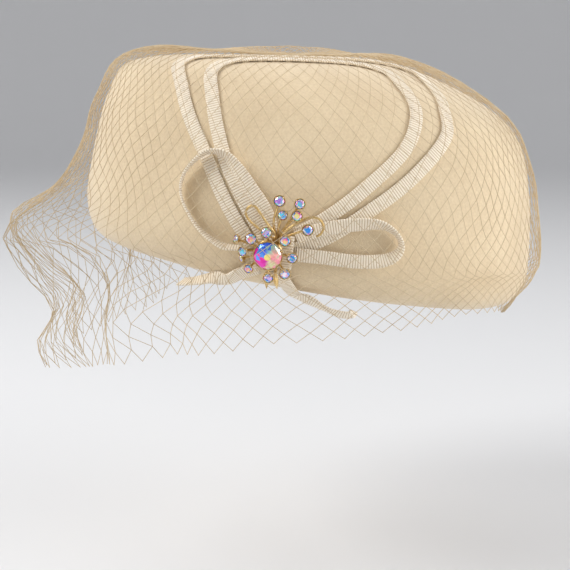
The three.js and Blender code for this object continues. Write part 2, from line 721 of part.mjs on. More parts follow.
// A part of the veil between two rings is a wall cut through in diamonds. Each row of its knots is half a
// column round from the last, and each strand runs from a knot to one of the two below it.
function veilGeometry(firstRing, lastRing) {
  const rings = lastRing - firstRing + 1;
  const strandLook = 0.25; // share of a strand over which its direction at a knot is taken
  const bendLook = 0.05; // and at a bend
  const points = [];
  const faces = [];
  const first = firstRing + (firstRing === veilSplit ? veilSplitGap / 2 : 0);
  const last = lastRing - (lastRing === veilSplit ? veilSplitGap / 2 : 0);
  const shareAt = (ring) =>
    THREE.MathUtils.lerp(first, last, ring / (rings - 1)) / (veilRings.length - 1);
  const place = (ring, column) => veilPoint((360 * column) / veilColumns, shareAt(ring));
  const normalAt = (ring, column) =>
    outwardNormal(veilPoint, (360 * column) / veilColumns, shareAt(ring)).negate();
  const addCorner = (middle, shift, normal) => {
    for (const side of [0.5, -0.5]) {
      points.push(middle.clone().add(shift).addScaledVector(normal, side * veilThickness));
    }
    return points.length - 2;
  };
  const knots = [];
  for (let ring = 0; ring < rings; ring++) {
    knots.push([]);
    for (let j = 0; j < veilColumns; j++) {
      const column = j + ((ring + firstRing) % 2) / 2;
      const middle = place(ring, column);
      const normal = normalAt(ring, column);
      const towards = (down, right) =>
        place(ring + down * strandLook, column + (right * strandLook) / 2)
          .sub(middle)
          .projectOnPlane(normal)
          .normalize();
      const knot = {};
      if (ring > 0) {
        const [left, right] = [towards(-1, -1), towards(-1, 1)];
        knot.north = addCorner(middle, cornerBetween(left, right), normal);
        if (ring === rings - 1) {
          knot.outside = addCorner(middle, cornerBetween(left, right).negate(), normal);
        }
      }
      if (ring < rings - 1) {
        const [left, right] = [towards(1, -1), towards(1, 1)];
        knot.south = addCorner(middle, cornerBetween(left, right), normal);
        if (ring === 0) {
          knot.outside = addCorner(middle, cornerBetween(left, right).negate(), normal);
        }
      }
      if (ring > 0 && ring < rings - 1) {
        knot.west = addCorner(middle, cornerBetween(towards(-1, -1), towards(1, -1)), normal);
        knot.east = addCorner(middle, cornerBetween(towards(-1, 1), towards(1, 1)), normal);
        faces.push([knot.north, knot.west, knot.south, knot.east]);
        faces.push([knot.north, knot.east, knot.south, knot.west].map((k) => k + 1));
      }
      knots[ring].push(knot);
    }
  }
  const addStrand = (ring, column, side, left, right) => {
    const { steps } = veilRings[ring + firstRing + 1];
    const lefts = [left.from];
    const rights = [right.from];
    for (let i = 1; i < steps; i++) {
      const along = i / steps;
      const at = [ring + along, column + (side * along) / 2];
      const normal = normalAt(...at);
      const ahead = place(at[0] + bendLook, at[1] + (side * bendLook) / 2).sub(place(...at)).normalize();
      const across = normal.clone().cross(ahead).normalize().multiplyScalar(veilStrand / 2);
      lefts.push(addCorner(place(...at), across, normal));
      rights.push(addCorner(place(...at), across.clone().negate(), normal));
    }
    lefts.push(left.to);
    rights.push(right.to);
    for (let i = 1; i < lefts.length; i++) {
      const [a, b, c, d] = [lefts[i - 1], rights[i - 1], rights[i], lefts[i]];
      faces.push([a, b, c, d], [a + 1, d + 1, c + 1, b + 1]);
      faces.push([a, d, d + 1, a + 1], [b, b + 1, c + 1, c]);
    }
  };
  for (let ring = 0; ring < rings - 1; ring++) {
    for (let j = 0; j < veilColumns; j++) {
      const column = j + ((ring + firstRing) % 2) / 2;
      const from = knots[ring][j];
      const leftColumn = (j - 1 + ((ring + firstRing) % 2) + veilColumns) % veilColumns;
      const toLeft = knots[ring + 1][leftColumn];
      const toRight = knots[ring + 1][(leftColumn + 1) % veilColumns];
      const east = from.east ?? from.outside;
      const west = from.west ?? from.outside;
      const rightArrival = toRight.west ?? toRight.outside;
      const leftArrival = toLeft.east ?? toLeft.outside;
      addStrand(ring, column, 1, { from: east, to: toRight.north }, { from: from.south, to: rightArrival });
      addStrand(ring, column, -1, { from: from.south, to: leftArrival }, { from: west, to: toLeft.north });
    }
  }
  return closedGeometry(points, faces);
}

function addMesh(parent, name, geometry, material) {
  const mesh = new THREE.Mesh(geometry, material);
  mesh.name = name;
  parent.add(mesh);
  return mesh;
}

// A group whose own plane lies on the felt at the knot: x towards the back, y up and z away from it.
function groupAtKnot(lift) {
  const group = new THREE.Group();
  const normal = outwardNormal(crownPoint, bowSite.azimuth, bowSite.level);
  const across = new THREE.Vector3(0, 1, 0).projectOnPlane(normal).normalize();
  const up = normal.clone().cross(across);
  group.setRotationFromMatrix(new THREE.Matrix4().makeBasis(across, up, normal));
  group.position.copy(crownPoint(bowSite.azimuth, bowSite.level)).addScaledVector(normal, lift);
  return group;
}

function buildBrooch() {
  const brooch = groupAtKnot(broochSeat);
  addMesh(brooch, "brooch_frame", broochFrameGeometry(), gold);
  const addStone = (name, width, facets, cup) => {
    const stone = addMesh(brooch, "brooch_stone_" + name, stoneGeometry(width, facets), crystal);
    stone.applyMatrix4(cup.multiply(new THREE.Matrix4().makeTranslation(0, 0, cupHeight(width))));
  };
  addStone("centre", centreStoneWidth, centreStoneFacets, centreCupPlace());
  for (const stone of smallStones) {
    addStone(stone.name, stone.width * smallStoneWidth, smallStoneFacets, cupPlace(stone));
  }
  return brooch;
}

const hat = new THREE.Group();
addMesh(hat, "crown_wall", shellGeometry(0, tipLevel), felt);
addMesh(hat, "crown_tip", shellGeometry(tipLevel + tipSeam, 1), felt);
for (const band of bands) {
  addMesh(hat, band.name, bandGeometry(band), grosgrain);
}
for (const piece of bowPieces) {
  addMesh(hat, piece.name, bowGeometry(piece), grosgrain);
}
const knotGroup = groupAtKnot(knotSeat);
addMesh(knotGroup, "bow_knot", knotGeometry(), grosgrain);
hat.add(knotGroup);
hat.add(buildBrooch());
addMesh(hat, "veil_cap", veilGeometry(0, veilSplit), net);
addMesh(hat, "veil_fall", veilGeometry(veilSplit, veilRings.length - 1), net);

export default hat;
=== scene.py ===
import logging
import math
from collections.abc import Callable
from dataclasses import dataclass
from enum import Enum

import bpy
import numpy as np
from mathutils import Matrix, Vector, noise


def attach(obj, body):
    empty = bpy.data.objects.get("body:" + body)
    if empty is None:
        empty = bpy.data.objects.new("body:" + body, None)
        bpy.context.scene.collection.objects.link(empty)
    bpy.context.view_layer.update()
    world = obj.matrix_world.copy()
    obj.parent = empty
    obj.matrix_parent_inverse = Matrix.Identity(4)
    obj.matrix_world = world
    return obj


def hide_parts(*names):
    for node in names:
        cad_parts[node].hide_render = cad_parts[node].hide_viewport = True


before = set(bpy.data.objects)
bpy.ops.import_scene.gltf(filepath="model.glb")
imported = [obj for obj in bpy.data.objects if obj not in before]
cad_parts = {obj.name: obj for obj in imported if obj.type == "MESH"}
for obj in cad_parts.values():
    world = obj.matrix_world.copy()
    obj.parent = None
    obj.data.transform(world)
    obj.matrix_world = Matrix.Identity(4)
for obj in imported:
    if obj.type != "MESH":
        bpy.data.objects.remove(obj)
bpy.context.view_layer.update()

LOG = logging.getLogger("pillbox_hat")
MM = 0.001
BODY = "root"
SHORTEST = 1e-12  # the least length that a vector is divided by
FINE_STEPS = 1500  # points along a curve before it is spaced evenly
SMALL_TURN = 0.2  # degrees round, to find a surface's slope
SMALL_RISE = 0.002  # of a surface's profile, to find its slope

# Lengths are in metres. The near side faces +X, the back of the hat +Y and the top +Z.


# Shared geometry


def spline(rows: np.ndarray, at: np.ndarray, closed: bool = False) -> np.ndarray:
    """Samples a smooth curve through rows.

    Args:
        rows: The points, as (rows, 3), or (rows, samples, 3) where each sample has a curve of its own.
        at: Where to sample, from 0 to 1.
        closed: Whether the last row joins the first.

    Returns:
        One point for each sample.
    """
    if rows.ndim == 2:
        rows = np.repeat(rows[:, None, :], len(at), axis=1)
    if closed:
        spans = len(rows)
        padded = np.concatenate([rows[-1:], rows, rows[:2]])
    else:
        spans = len(rows) - 1
        padded = np.concatenate([2 * rows[:1] - rows[1:2], rows, 2 * rows[-1:] - rows[-2:-1]])
    place = np.clip(at, 0, 1) * spans
    span = np.minimum(place.astype(int), spans - 1)
    share = (place - span)[:, None]
    sample = np.arange(len(at))
    a, b, c, d = (padded[span + k, sample] for k in range(4))
    curve = 2 * b + (c - a) * share + (2 * a - 5 * b + 4 * c - d) * share**2
    return (curve + (3 * b - a - 3 * c + d) * share**3) / 2


def unit(vectors: np.ndarray) -> np.ndarray:
    """Scales vectors to length 1."""
    return vectors / np.maximum(np.linalg.norm(vectors, axis=-1, keepdims=True), SHORTEST)


def smoothstep(value: np.ndarray, low: float, high: float) -> np.ndarray:
    """Rises smoothly from 0 at low to 1 at high."""
    share = np.clip((value - low) / (high - low), 0, 1)
    return share * share * (3 - 2 * share)


def grid_faces(rows: int, columns: int, closed: bool, start: int = 0) -> list[tuple[int, ...]]:
    """Lists the faces of a grid of points.

    Args:
        rows: How many rows of points there are.
        columns: How many points each row has.
        closed: Whether the last column joins the first.
        start: The number of the grid's first point.

    Returns:
        Four point numbers for each face.
    """
    spans = columns if closed else columns - 1
    faces = []
    for i in range(rows - 1):
        for j in range(spans):
            low, next_column = start + i * columns, (j + 1) % columns
            faces.append((low + j, low + next_column, low + columns + next_column, low + columns + j))
    return faces


def turned(profile: list[tuple[float, float]], sides: int) -> np.ndarray:
    """Turns a profile round the z axis.

    Args:
        profile: Its radii and heights.
        sides: How many points each ring has.

    Returns:
        The points, ring after ring.
    """
    angles = np.arange(sides) * 2 * np.pi / sides
    radii, heights = np.array(profile).T[:, :, None]
    rings = [radii * np.cos(angles), radii * np.sin(angles), heights + np.zeros(sides)]
    return np.stack(rings, axis=-1).reshape(-1, 3)


def new_object(name: str, points: np.ndarray, faces: list, edges: list | None = None) -> bpy.types.Object:
    """Makes a mesh object at the origin and links it to the scene.

    Args:
        name: The object's name.
        points: The places of its points, in metres.
        faces: Its faces, as lists of point numbers.
        edges: Its loose edges, where it has no faces.

    Returns:
        The object.
    """
    mesh = bpy.data.meshes.new(name)
    mesh.from_pydata([tuple(p) for p in points], edges or [], faces)
    mesh.update()
    made = bpy.data.objects.new(name, mesh)
    bpy.context.scene.collection.objects.link(made)
    return made


def finish_piece(piece: bpy.types.Object, material: bpy.types.Material, slot: str, *nodes: str) -> None:
    """Dresses a piece, sets it on the hat's body and hides the CAD nodes that it stands for.

    Args:
        piece: The finished piece.
        material: Its material.
        slot: The record's material slot; it is not used.
        *nodes: The CAD nodes that it replaces.
    """
    piece.data.materials.clear()
    piece.data.materials.append(material)
    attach(piece, BODY)
    if nodes:
        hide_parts(*nodes)
    stands_for = ", ".join(nodes) or "itself"
    LOG.info("%s: %d faces, stands for %s", piece.name, len(piece.data.polygons), stands_for)


# Shader and geometry trees


class Tree:
    """Adds nodes to one node tree and joins them."""

    def __init__(self, tree: bpy.types.NodeTree) -> None:
        """Keeps the tree that the nodes go to."""
        self.tree = tree

    def node(self, kind: str, inputs: dict | None = None, **settings: object) -> bpy.types.Node:
        """Adds a node.

        Args:
            kind: The node's type.
            inputs: A value or another node's output for each input, by its name or number.
            **settings: The node's own settings.

        Returns:
            The node.
        """
        made = self.tree.nodes.new(kind)
        for name, value in settings.items():
            setattr(made, name, value)
        for name, value in (inputs or {}).items():
            if isinstance(value, bpy.types.NodeSocket):
                self.tree.links.new(value, made.inputs[name])
            else:
                made.inputs[name].default_value = value
        return made

    def math(self, operation: str, *values: object) -> bpy.types.NodeSocket:
        """Adds a Math node and returns its result."""
        return self.node("ShaderNodeMath", dict(enumerate(values)), operation=operation).outputs[0]

    def mix(self, factor: object, first: object, second: object, blend: str = "MIX") -> bpy.types.NodeSocket:
        """Adds a colour mix and returns its result."""
        inputs = {0: factor, 6: first, 7: second}
        return self.node("ShaderNodeMix", inputs, data_type="RGBA", blend_type=blend).outputs[2]

    def ramp(self, factor: object, stops: list[tuple[float, tuple]]) -> bpy.types.NodeSocket:
        """Adds a colour ramp.

        Args:
            factor: Another node's output, from 0 to 1.
            stops: The place and the colour of each stop.

        Returns:
            The ramp's colour.
        """
        made = self.node("ShaderNodeValToRGB", {0: factor})
        elements = made.color_ramp.elements
        while len(elements) < len(stops):
            elements.new(0.5)
        for element, (place, colour) in zip(elements, stops):
            element.position = place
            element.color = (*colour, 1)
        return made.outputs[0]

    def noise(
        self, vector: object, size: float, detail: float = 2, rough: float = 0.5
    ) -> bpy.types.NodeSocket:
        """Adds a noise.

        Args:
            vector: The place on the piece.
            size: About how large its spots are, in metres.
            detail: How many finer layers it has.
            rough: How strong these are.

        Returns:
            Its value.
        """
        inputs = {"Vector": vector, "Scale": 1 / size, "Detail": detail, "Roughness": rough}
        return self.node("ShaderNodeTexNoise", inputs).outputs[0]


def new_group(name: str, kind: str, sockets: list[tuple[str, str, str]]) -> Tree:
    """Makes an empty node group.

    Args:
        name: The group's name.
        kind: ShaderNodeTree or GeometryNodeTree.
        sockets: Its sockets, each with a name, INPUT or OUTPUT, and a socket type.

    Returns:
        The group's tree.
    """
    group = bpy.data.node_groups.new(name, kind)
    for label, way, socket_type in sockets:
        group.interface.new_socket(label, in_out=way, socket_type=socket_type)
    return Tree(group)


@dataclass(frozen=True)
class Mottle:
    """How a colour changes over a piece: its broad and its fine scale, and the fine one's share."""

    broad: float
    fine: float
    share: float


@dataclass
class Effects:
    """The shader groups that several materials use. Tufts are given in shares of the fibres' own scale."""

    mottle_range: tuple[float, float] = (0.36, 0.64)
    mottle_detail: float = 3
    fibre_detail: float = 4
    tuft_scale: float = 0.35
    tuft_detail: float = 2
    tuft_twist: float = 2.5
    tuft_share: float = 0.6

    def __post_init__(self) -> None:
        """Builds each group once."""
        self.mottle = self._mottle()
        self.nap = self._nap()

    def mottled(
        self, tree: Tree, place: bpy.types.NodeSocket, first: tuple, second: tuple, mottle: Mottle
    ) -> bpy.types.NodeSocket:
        """Mottles a material.

        Args:
            tree: The material's tree.
            place: The place on the piece.
            first: The main colour.
            second: The other colour.
            mottle: The scales of the change.

        Returns:
            The colour.
        """
        inputs = {"Vector": place, "Colour": first, "Second colour": second}
        inputs |= {"Broad scale": mottle.broad, "Fine scale": mottle.fine, "Fine share": mottle.share}
        return tree.node("ShaderNodeGroup", inputs, node_tree=self.mottle).outputs[0]

    def napped(
        self, tree: Tree, place: bpy.types.NodeSocket, scale: float, depth: float, strength: float
    ) -> bpy.types.NodeSocket:
        """Roughens a material with short fibres.

        Args:
            tree: The material's tree.
            place: The place on the piece.
            scale: The fibres' scale.
            depth: How deep they are, in metres.
            strength: How strongly they show.

        Returns:
            The normal.
        """
        nap = tree.node("ShaderNodeGroup", {"Vector": place, "Scale": scale}, node_tree=self.nap)
        bump = {"Height": nap.outputs[0], "Strength": strength, "Distance": depth}
        return tree.node("ShaderNodeBump", bump).outputs[0]

    def _mottle(self) -> bpy.types.NodeTree:
        """Builds a soft change of colour over a piece, with a broad and a fine scale.

        Returns:
            The group.
        """
        sockets = [
            ("Vector", "INPUT", "NodeSocketVector"),
            ("Colour", "INPUT", "NodeSocketColor"),
            ("Second colour", "INPUT", "NodeSocketColor"),
            ("Broad scale", "INPUT", "NodeSocketFloat"),
            ("Fine scale", "INPUT", "NodeSocketFloat"),
            ("Fine share", "INPUT", "NodeSocketFloat"),
            ("Colour", "OUTPUT", "NodeSocketColor"),
        ]
        tree = new_group("soft_mottle", "ShaderNodeTree", sockets)
        given = tree.node("NodeGroupInput").outputs
        broad = tree.node("ShaderNodeTexNoise", {"Vector": given["Vector"], "Scale": given["Broad scale"]})
        fine_inputs = {"Vector": given["Vector"], "Scale": given["Fine scale"]}
        fine_inputs |= {"Detail": self.mottle_detail}
        fine = tree.node("ShaderNodeTexNoise", fine_inputs)
        spread = tree.node("ShaderNodeMix", {0: given["Fine share"], 2: broad.outputs[0], 3: fine.outputs[0]})
        first, full = self.mottle_range
        limits = {"Value": spread.outputs[0], "From Min": first, "From Max": full}
        shaped = tree.node("ShaderNodeMapRange", limits)
        result = tree.mix(shaped.outputs[0], given["Colour"], given["Second colour"])
        tree.node("NodeGroupOutput", {0: result})
        return tree.tree

    def _nap(self) -> bpy.types.NodeTree:
        """Builds the height of short fibres that lie over a cloth.

        Returns:
            The group.
        """
        sockets = [
            ("Vector", "INPUT", "NodeSocketVector"),
            ("Scale", "INPUT", "NodeSocketFloat"),
            ("Height", "OUTPUT", "NodeSocketFloat"),
        ]
        tree = new_group("fibre_nap", "ShaderNodeTree", sockets)
        given = tree.node("NodeGroupInput").outputs
        straight = {"Vector": given["Vector"], "Scale": given["Scale"], "Detail": self.fibre_detail}
        fibres = tree.node("ShaderNodeTexNoise", straight)
        tuft_scale = tree.math("MULTIPLY", given["Scale"], self.tuft_scale)
        twisted = {"Vector": given["Vector"], "Scale": tuft_scale}
        twisted |= {"Detail": self.tuft_detail, "Distortion": self.tuft_twist}
        tufts = tree.node("ShaderNodeTexNoise", twisted)
        height = tree.math("MULTIPLY_ADD", tufts.outputs[0], self.tuft_share, fibres.outputs[0])
        tree.node("NodeGroupOutput", {0: height})
        return tree.tree


def new_material(name: str) -> tuple[bpy.types.Material, Tree, bpy.types.Node]:
    """Makes a material with one Principled shader.

    Args:
        name: The material's name.

    Returns:
        The material, its tree and the shader.
    """
    material = bpy.data.materials.new(name)
    material.use_nodes = True
    tree = Tree(material.node_tree)
    return material, tree, material.node_tree.nodes["Principled BSDF"]


def join(tree: Tree, output: bpy.types.NodeSocket, shader: bpy.types.Node, name: str) -> None:
    """Joins an output to one of the shader's inputs."""
    tree.tree.links.new(output, shader.inputs[name])


def even_stops(colours: tuple) -> list[tuple[float, tuple]]:
    """Spaces colours evenly over a ramp."""
    return [((i + 0.5) / len(colours), colour) for i, colour in enumerate(colours)]


@dataclass(frozen=True)
class Felt:
    """The crown's wool felt."""

    light: tuple = (0.83, 0.68, 0.46, 1)
    deep: tuple = (0.71, 0.56, 0.36, 1)
    fleck: tuple = (0.60, 0.44, 0.265, 1)
    mottle: Mottle = Mottle(broad=22, fine=900, share=0.55)
    fleck_size: float = 0.9 * MM
    fleck_detail: float = 4
    fleck_rough: float = 0.7
    fleck_range: tuple[float, float] = (0.6, 0.78)
    fleck_share: float = 0.55
    nap_scale: float = 1500
    nap_depth: float = 0.25 * MM
    nap_strength: float = 0.55
    roughness: float = 0.93
    sheen: float = 0.35
    sheen_roughness: float = 0.6
    specular: float = 0.2

    def material(self, effects: Effects) -> bpy.types.Material:
        """Builds the felt from the shared groups.

        Args:
            effects: The shared groups.

        Returns:
            The material.
        """
        material, tree, shader = new_material("cream_felt")
        place = tree.node("ShaderNodeTexCoord").outputs["Object"]
        mottle = effects.mottled(tree, place, self.light, self.deep, self.mottle)
        flecks = tree.noise(place, self.fleck_size, self.fleck_detail, self.fleck_rough)
        first, full = self.fleck_range
        limits = {"Value": flecks, "From Min": first, "From Max": full, "To Max": self.fleck_share}
        mask = tree.node("ShaderNodeMapRange", limits).outputs[0]
        join(tree, tree.mix(mask, mottle, self.fleck), shader, "Base Color")
        nap = effects.napped(tree, place, self.nap_scale, self.nap_depth, self.nap_strength)
        join(tree, nap, shader, "Normal")
        shader.inputs["Roughness"].default_value = self.roughness
        shader.inputs["Sheen Weight"].default_value = self.sheen
        shader.inputs["Sheen Roughness"].default_value = self.sheen_roughness
        shader.inputs["Specular IOR Level"].default_value = self.specular
        return material


@dataclass(frozen=True)
class Grosgrain:
    """The cross-ribbed ribbon of the bands and the bow, with shade painted into the grooves between its ribs.
    """

    ridge: tuple = (0.98, 0.89, 0.74, 1)
    ridge_shade: tuple = (0.95, 0.85, 0.69, 1)
    # The groove colour is painted shade for the grooves between the ribs, darker than the ridges.
    groove_painted_shade: tuple = (0.58, 0.43, 0.26, 1)
    mottle: Mottle = Mottle(broad=60, fine=1400, share=0.5)
    nap_scale: float = 2600
    nap_depth: float = 0.1 * MM
    nap_strength: float = 0.3
    pitch: float = 1.2 * MM
    groove_painted_shade_end: float = -0.3
    roughness: float = 0.6
    sheen: float = 0.3

    def material(self, effects: Effects) -> bpy.types.Material:
        """Builds the ribbon, whose map runs along its length in metres, and paints shade into the grooves
        between its ribs.

        Args:
            effects: The shared groups.

        Returns:
            The material.
        """
        material, tree, shader = new_material("grosgrain_ribbon")
        place = tree.node("ShaderNodeTexCoord").outputs["Object"]
        along = tree.node("ShaderNodeUVMap", uv_map="ribbon").outputs[0]
        length = tree.node("ShaderNodeSeparateXYZ", {0: along}).outputs[0]
        phase = tree.math("MULTIPLY", length, 2 * math.pi / self.pitch)
        wave = tree.math("COSINE", phase)
        # The rib wave paints shade along each groove; the ridges keep the mottled colour.
        limits = {"Value": wave, "From Min": -1.0, "From Max": self.groove_painted_shade_end}
        unshaded_share = tree.node("ShaderNodeMapRange", limits).outputs[0]
        mottle = effects.mottled(tree, place, self.ridge, self.ridge_shade, self.mottle)
        join(tree, tree.mix(unshaded_share, self.groove_painted_shade, mottle), shader, "Base Color")
        nap = effects.napped(tree, place, self.nap_scale, self.nap_depth, self.nap_strength)
        join(tree, nap, shader, "Normal")
        shader.inputs["Roughness"].default_value = self.roughness
        shader.inputs["Sheen Weight"].default_value = self.sheen
        return material


@dataclass(frozen=True)
class NetThread:
    """The veil's tan thread."""

    light: tuple = (0.70, 0.56, 0.365, 1)
    deep: tuple = (0.56, 0.425, 0.26, 1)
    mottle: Mottle = Mottle(broad=40, fine=500, share=0.5)
    roughness: float = 0.8

    def material(self, effects: Effects) -> bpy.types.Material:
        """Builds the thread from the shared groups.

        Args:
            effects: The shared groups.

        Returns:
            The material.
        """
        material, tree, shader = new_material("veil_net")
        place = tree.node("ShaderNodeTexCoord").outputs["Object"]
        mottle = effects.mottled(tree, place, self.light, self.deep, self.mottle)
        join(tree, mottle, shader, "Base Color")
        shader.inputs["Roughness"].default_value = self.roughness
        return material


@dataclass(frozen=True)
class AntiqueGold:
    """The brooch's aged gilt metal."""

    bright: tuple = (0.88, 0.66, 0.31, 1)
    dull: tuple = (0.52, 0.34, 0.13, 1)
    mottle: Mottle = Mottle(broad=260, fine=1500, share=0.5)
    wear_size: float = 2 * MM
    roughness: tuple[float, float] = (0.22, 0.5)

    def material(self, effects: Effects) -> bpy.types.Material:
        """Builds the metal, duller and darker where it has tarnished.

        Args:
            effects: The shared groups.

        Returns:
            The material.
        """
        material, tree, shader = new_material("antique_gold")
        place = tree.node("ShaderNodeTexCoord").outputs["Object"]
        mottle = effects.mottled(tree, place, self.bright, self.dull, self.mottle)
        join(tree, mottle, shader, "Base Color")
        worn = tree.noise(place, self.wear_size)
        limits = {"Value": worn, "To Min": self.roughness[0], "To Max": self.roughness[1]}
        join(tree, tree.node("ShaderNodeMapRange", limits).outputs[0], shader, "Roughness")
        shader.inputs["Metallic"].default_value = 1
        return material


@dataclass(frozen=True)
class IridescentCrystal:
    """The foiled stones, with a faint painted glow. Each facet takes a colour of its own, by chance or round
    the stone's middle.
    """

    colours: tuple = (
        (0.02, 0.25, 0.80),
        (0.15, 0.75, 0.88),
        (0.45, 0.16, 0.75),
        (0.93, 0.93, 0.98),
        (0.90, 0.05, 0.42),
        (0.98, 0.72, 0.22),
        (0.30, 0.90, 0.62),
        (0.62, 0.45, 0.95),
    )
    round_colours: tuple = (
        (0.90, 0.03, 0.42),
        (0.78, 0.03, 0.50),
        (0.72, 0.78, 0.40),
        (0.98, 0.30, 0.42),
        (1.00, 0.50, 0.42),
        (0.30, 0.62, 0.50),
        (0.03, 0.10, 0.82),
        (0.10, 0.34, 0.90),
    )
    heart: tuple = (0.95, 0.78, 0.22)
    heart_radius: float = 1.5 * MM
    band_width: float = 2.1 * MM
    band_turn: float = 0.03
    first_turn: float = 0.38
    facet_snap: float = 0.04
    drift: float = 0.35
    drift_size: float = 1.6 * MM
    drift_detail: float = 1
    roughness: float = 0.06
    metallic: float = 0.55
    coat: float = 0.7
    coat_roughness: float = 0.02
    # The glow strength is painted light: the stones give off their own colour though they are no lamps.
    painted_glow: float = 0.12

    def _round(
        self, tree: Tree, place: bpy.types.NodeSocket, chance: bpy.types.NodeSocket, plane: Matrix
    ) -> bpy.types.NodeSocket:
        """Colours a stone by the way its facets lie round its middle.

        Args:
            tree: The material's tree.
            place: The place on the stone.
            chance: A chance value for each facet.
            plane: The stone's plane, x to the right and y up.

        Returns:
            The colour.
        """
        middle = tuple(plane.translation)
        offset = tree.node("ShaderNodeVectorMath", {0: place, 1: middle}, operation="SUBTRACT").outputs[0]
        across, up = (
            tree.node("ShaderNodeVectorMath", {0: offset, 1: tuple(axis)}, operation="DOT_PRODUCT").outputs[1]
            for axis in plane.to_3x3().col[:2]
        )
        away = tree.math("SQRT", tree.math("ADD", tree.math("POWER", across, 2), tree.math("POWER", up, 2)))
        band = tree.math("FLOOR", tree.math("DIVIDE", away, self.band_width))
        turn = tree.math("MULTIPLY_ADD", tree.math("ARCTAN2", up, across), 0.5 / math.pi, self.first_turn)
        shifted = tree.math("MULTIPLY_ADD", band, self.band_turn, turn)
        spread = tree.math("MULTIPLY_ADD", chance, self.drift / 2, shifted)
        around = tree.ramp(tree.math("FRACT", spread), even_stops(self.round_colours))
        inside = tree.math("LESS_THAN", away, self.heart_radius)
        return tree.mix(inside, around, (*self.heart, 1))

    def material(self, name: str, plane: Matrix | None = None) -> bpy.types.Material:
        """Builds the crystal, which gives off a faint painted glow in each facet's colour.

        Args:
            name: The material's name.
            plane: The stone's plane, where its colours run round it. Without one they come by chance.

        Returns:
            The material.
        """
        material, tree, shader = new_material(name)
        facing = tree.node("ShaderNodeNewGeometry").outputs["True Normal"]
        inputs = {0: facing, 1: (self.facet_snap,) * 3}
        snapped = tree.node("ShaderNodeVectorMath", inputs, operation="SNAP").outputs[0]
        chance = tree.node("ShaderNodeTexWhiteNoise", {"Vector": snapped}).outputs[0]
        place = tree.node("ShaderNodeTexCoord").outputs["Object"]
        if plane is None:
            drift = tree.noise(place, self.drift_size, self.drift_detail)
            spread = tree.math("MULTIPLY_ADD", drift, self.drift, chance)
            colour = tree.ramp(tree.math("FRACT", spread), even_stops(self.colours))
        else:
            colour = self._round(tree, place, chance, plane)
        join(tree, colour, shader, "Base Color")
        # Painted glow: each facet's colour is also given off as light.
        join(tree, colour, shader, "Emission Color")
        shader.inputs["Emission Strength"].default_value = self.painted_glow
        shader.inputs["Metallic"].default_value = self.metallic
        shader.inputs["Roughness"].default_value = self.roughness
        shader.inputs["Coat Weight"].default_value = self.coat
        shader.inputs["Coat Roughness"].default_value = self.coat_roughness
        return material


# Growing things along paths and on points


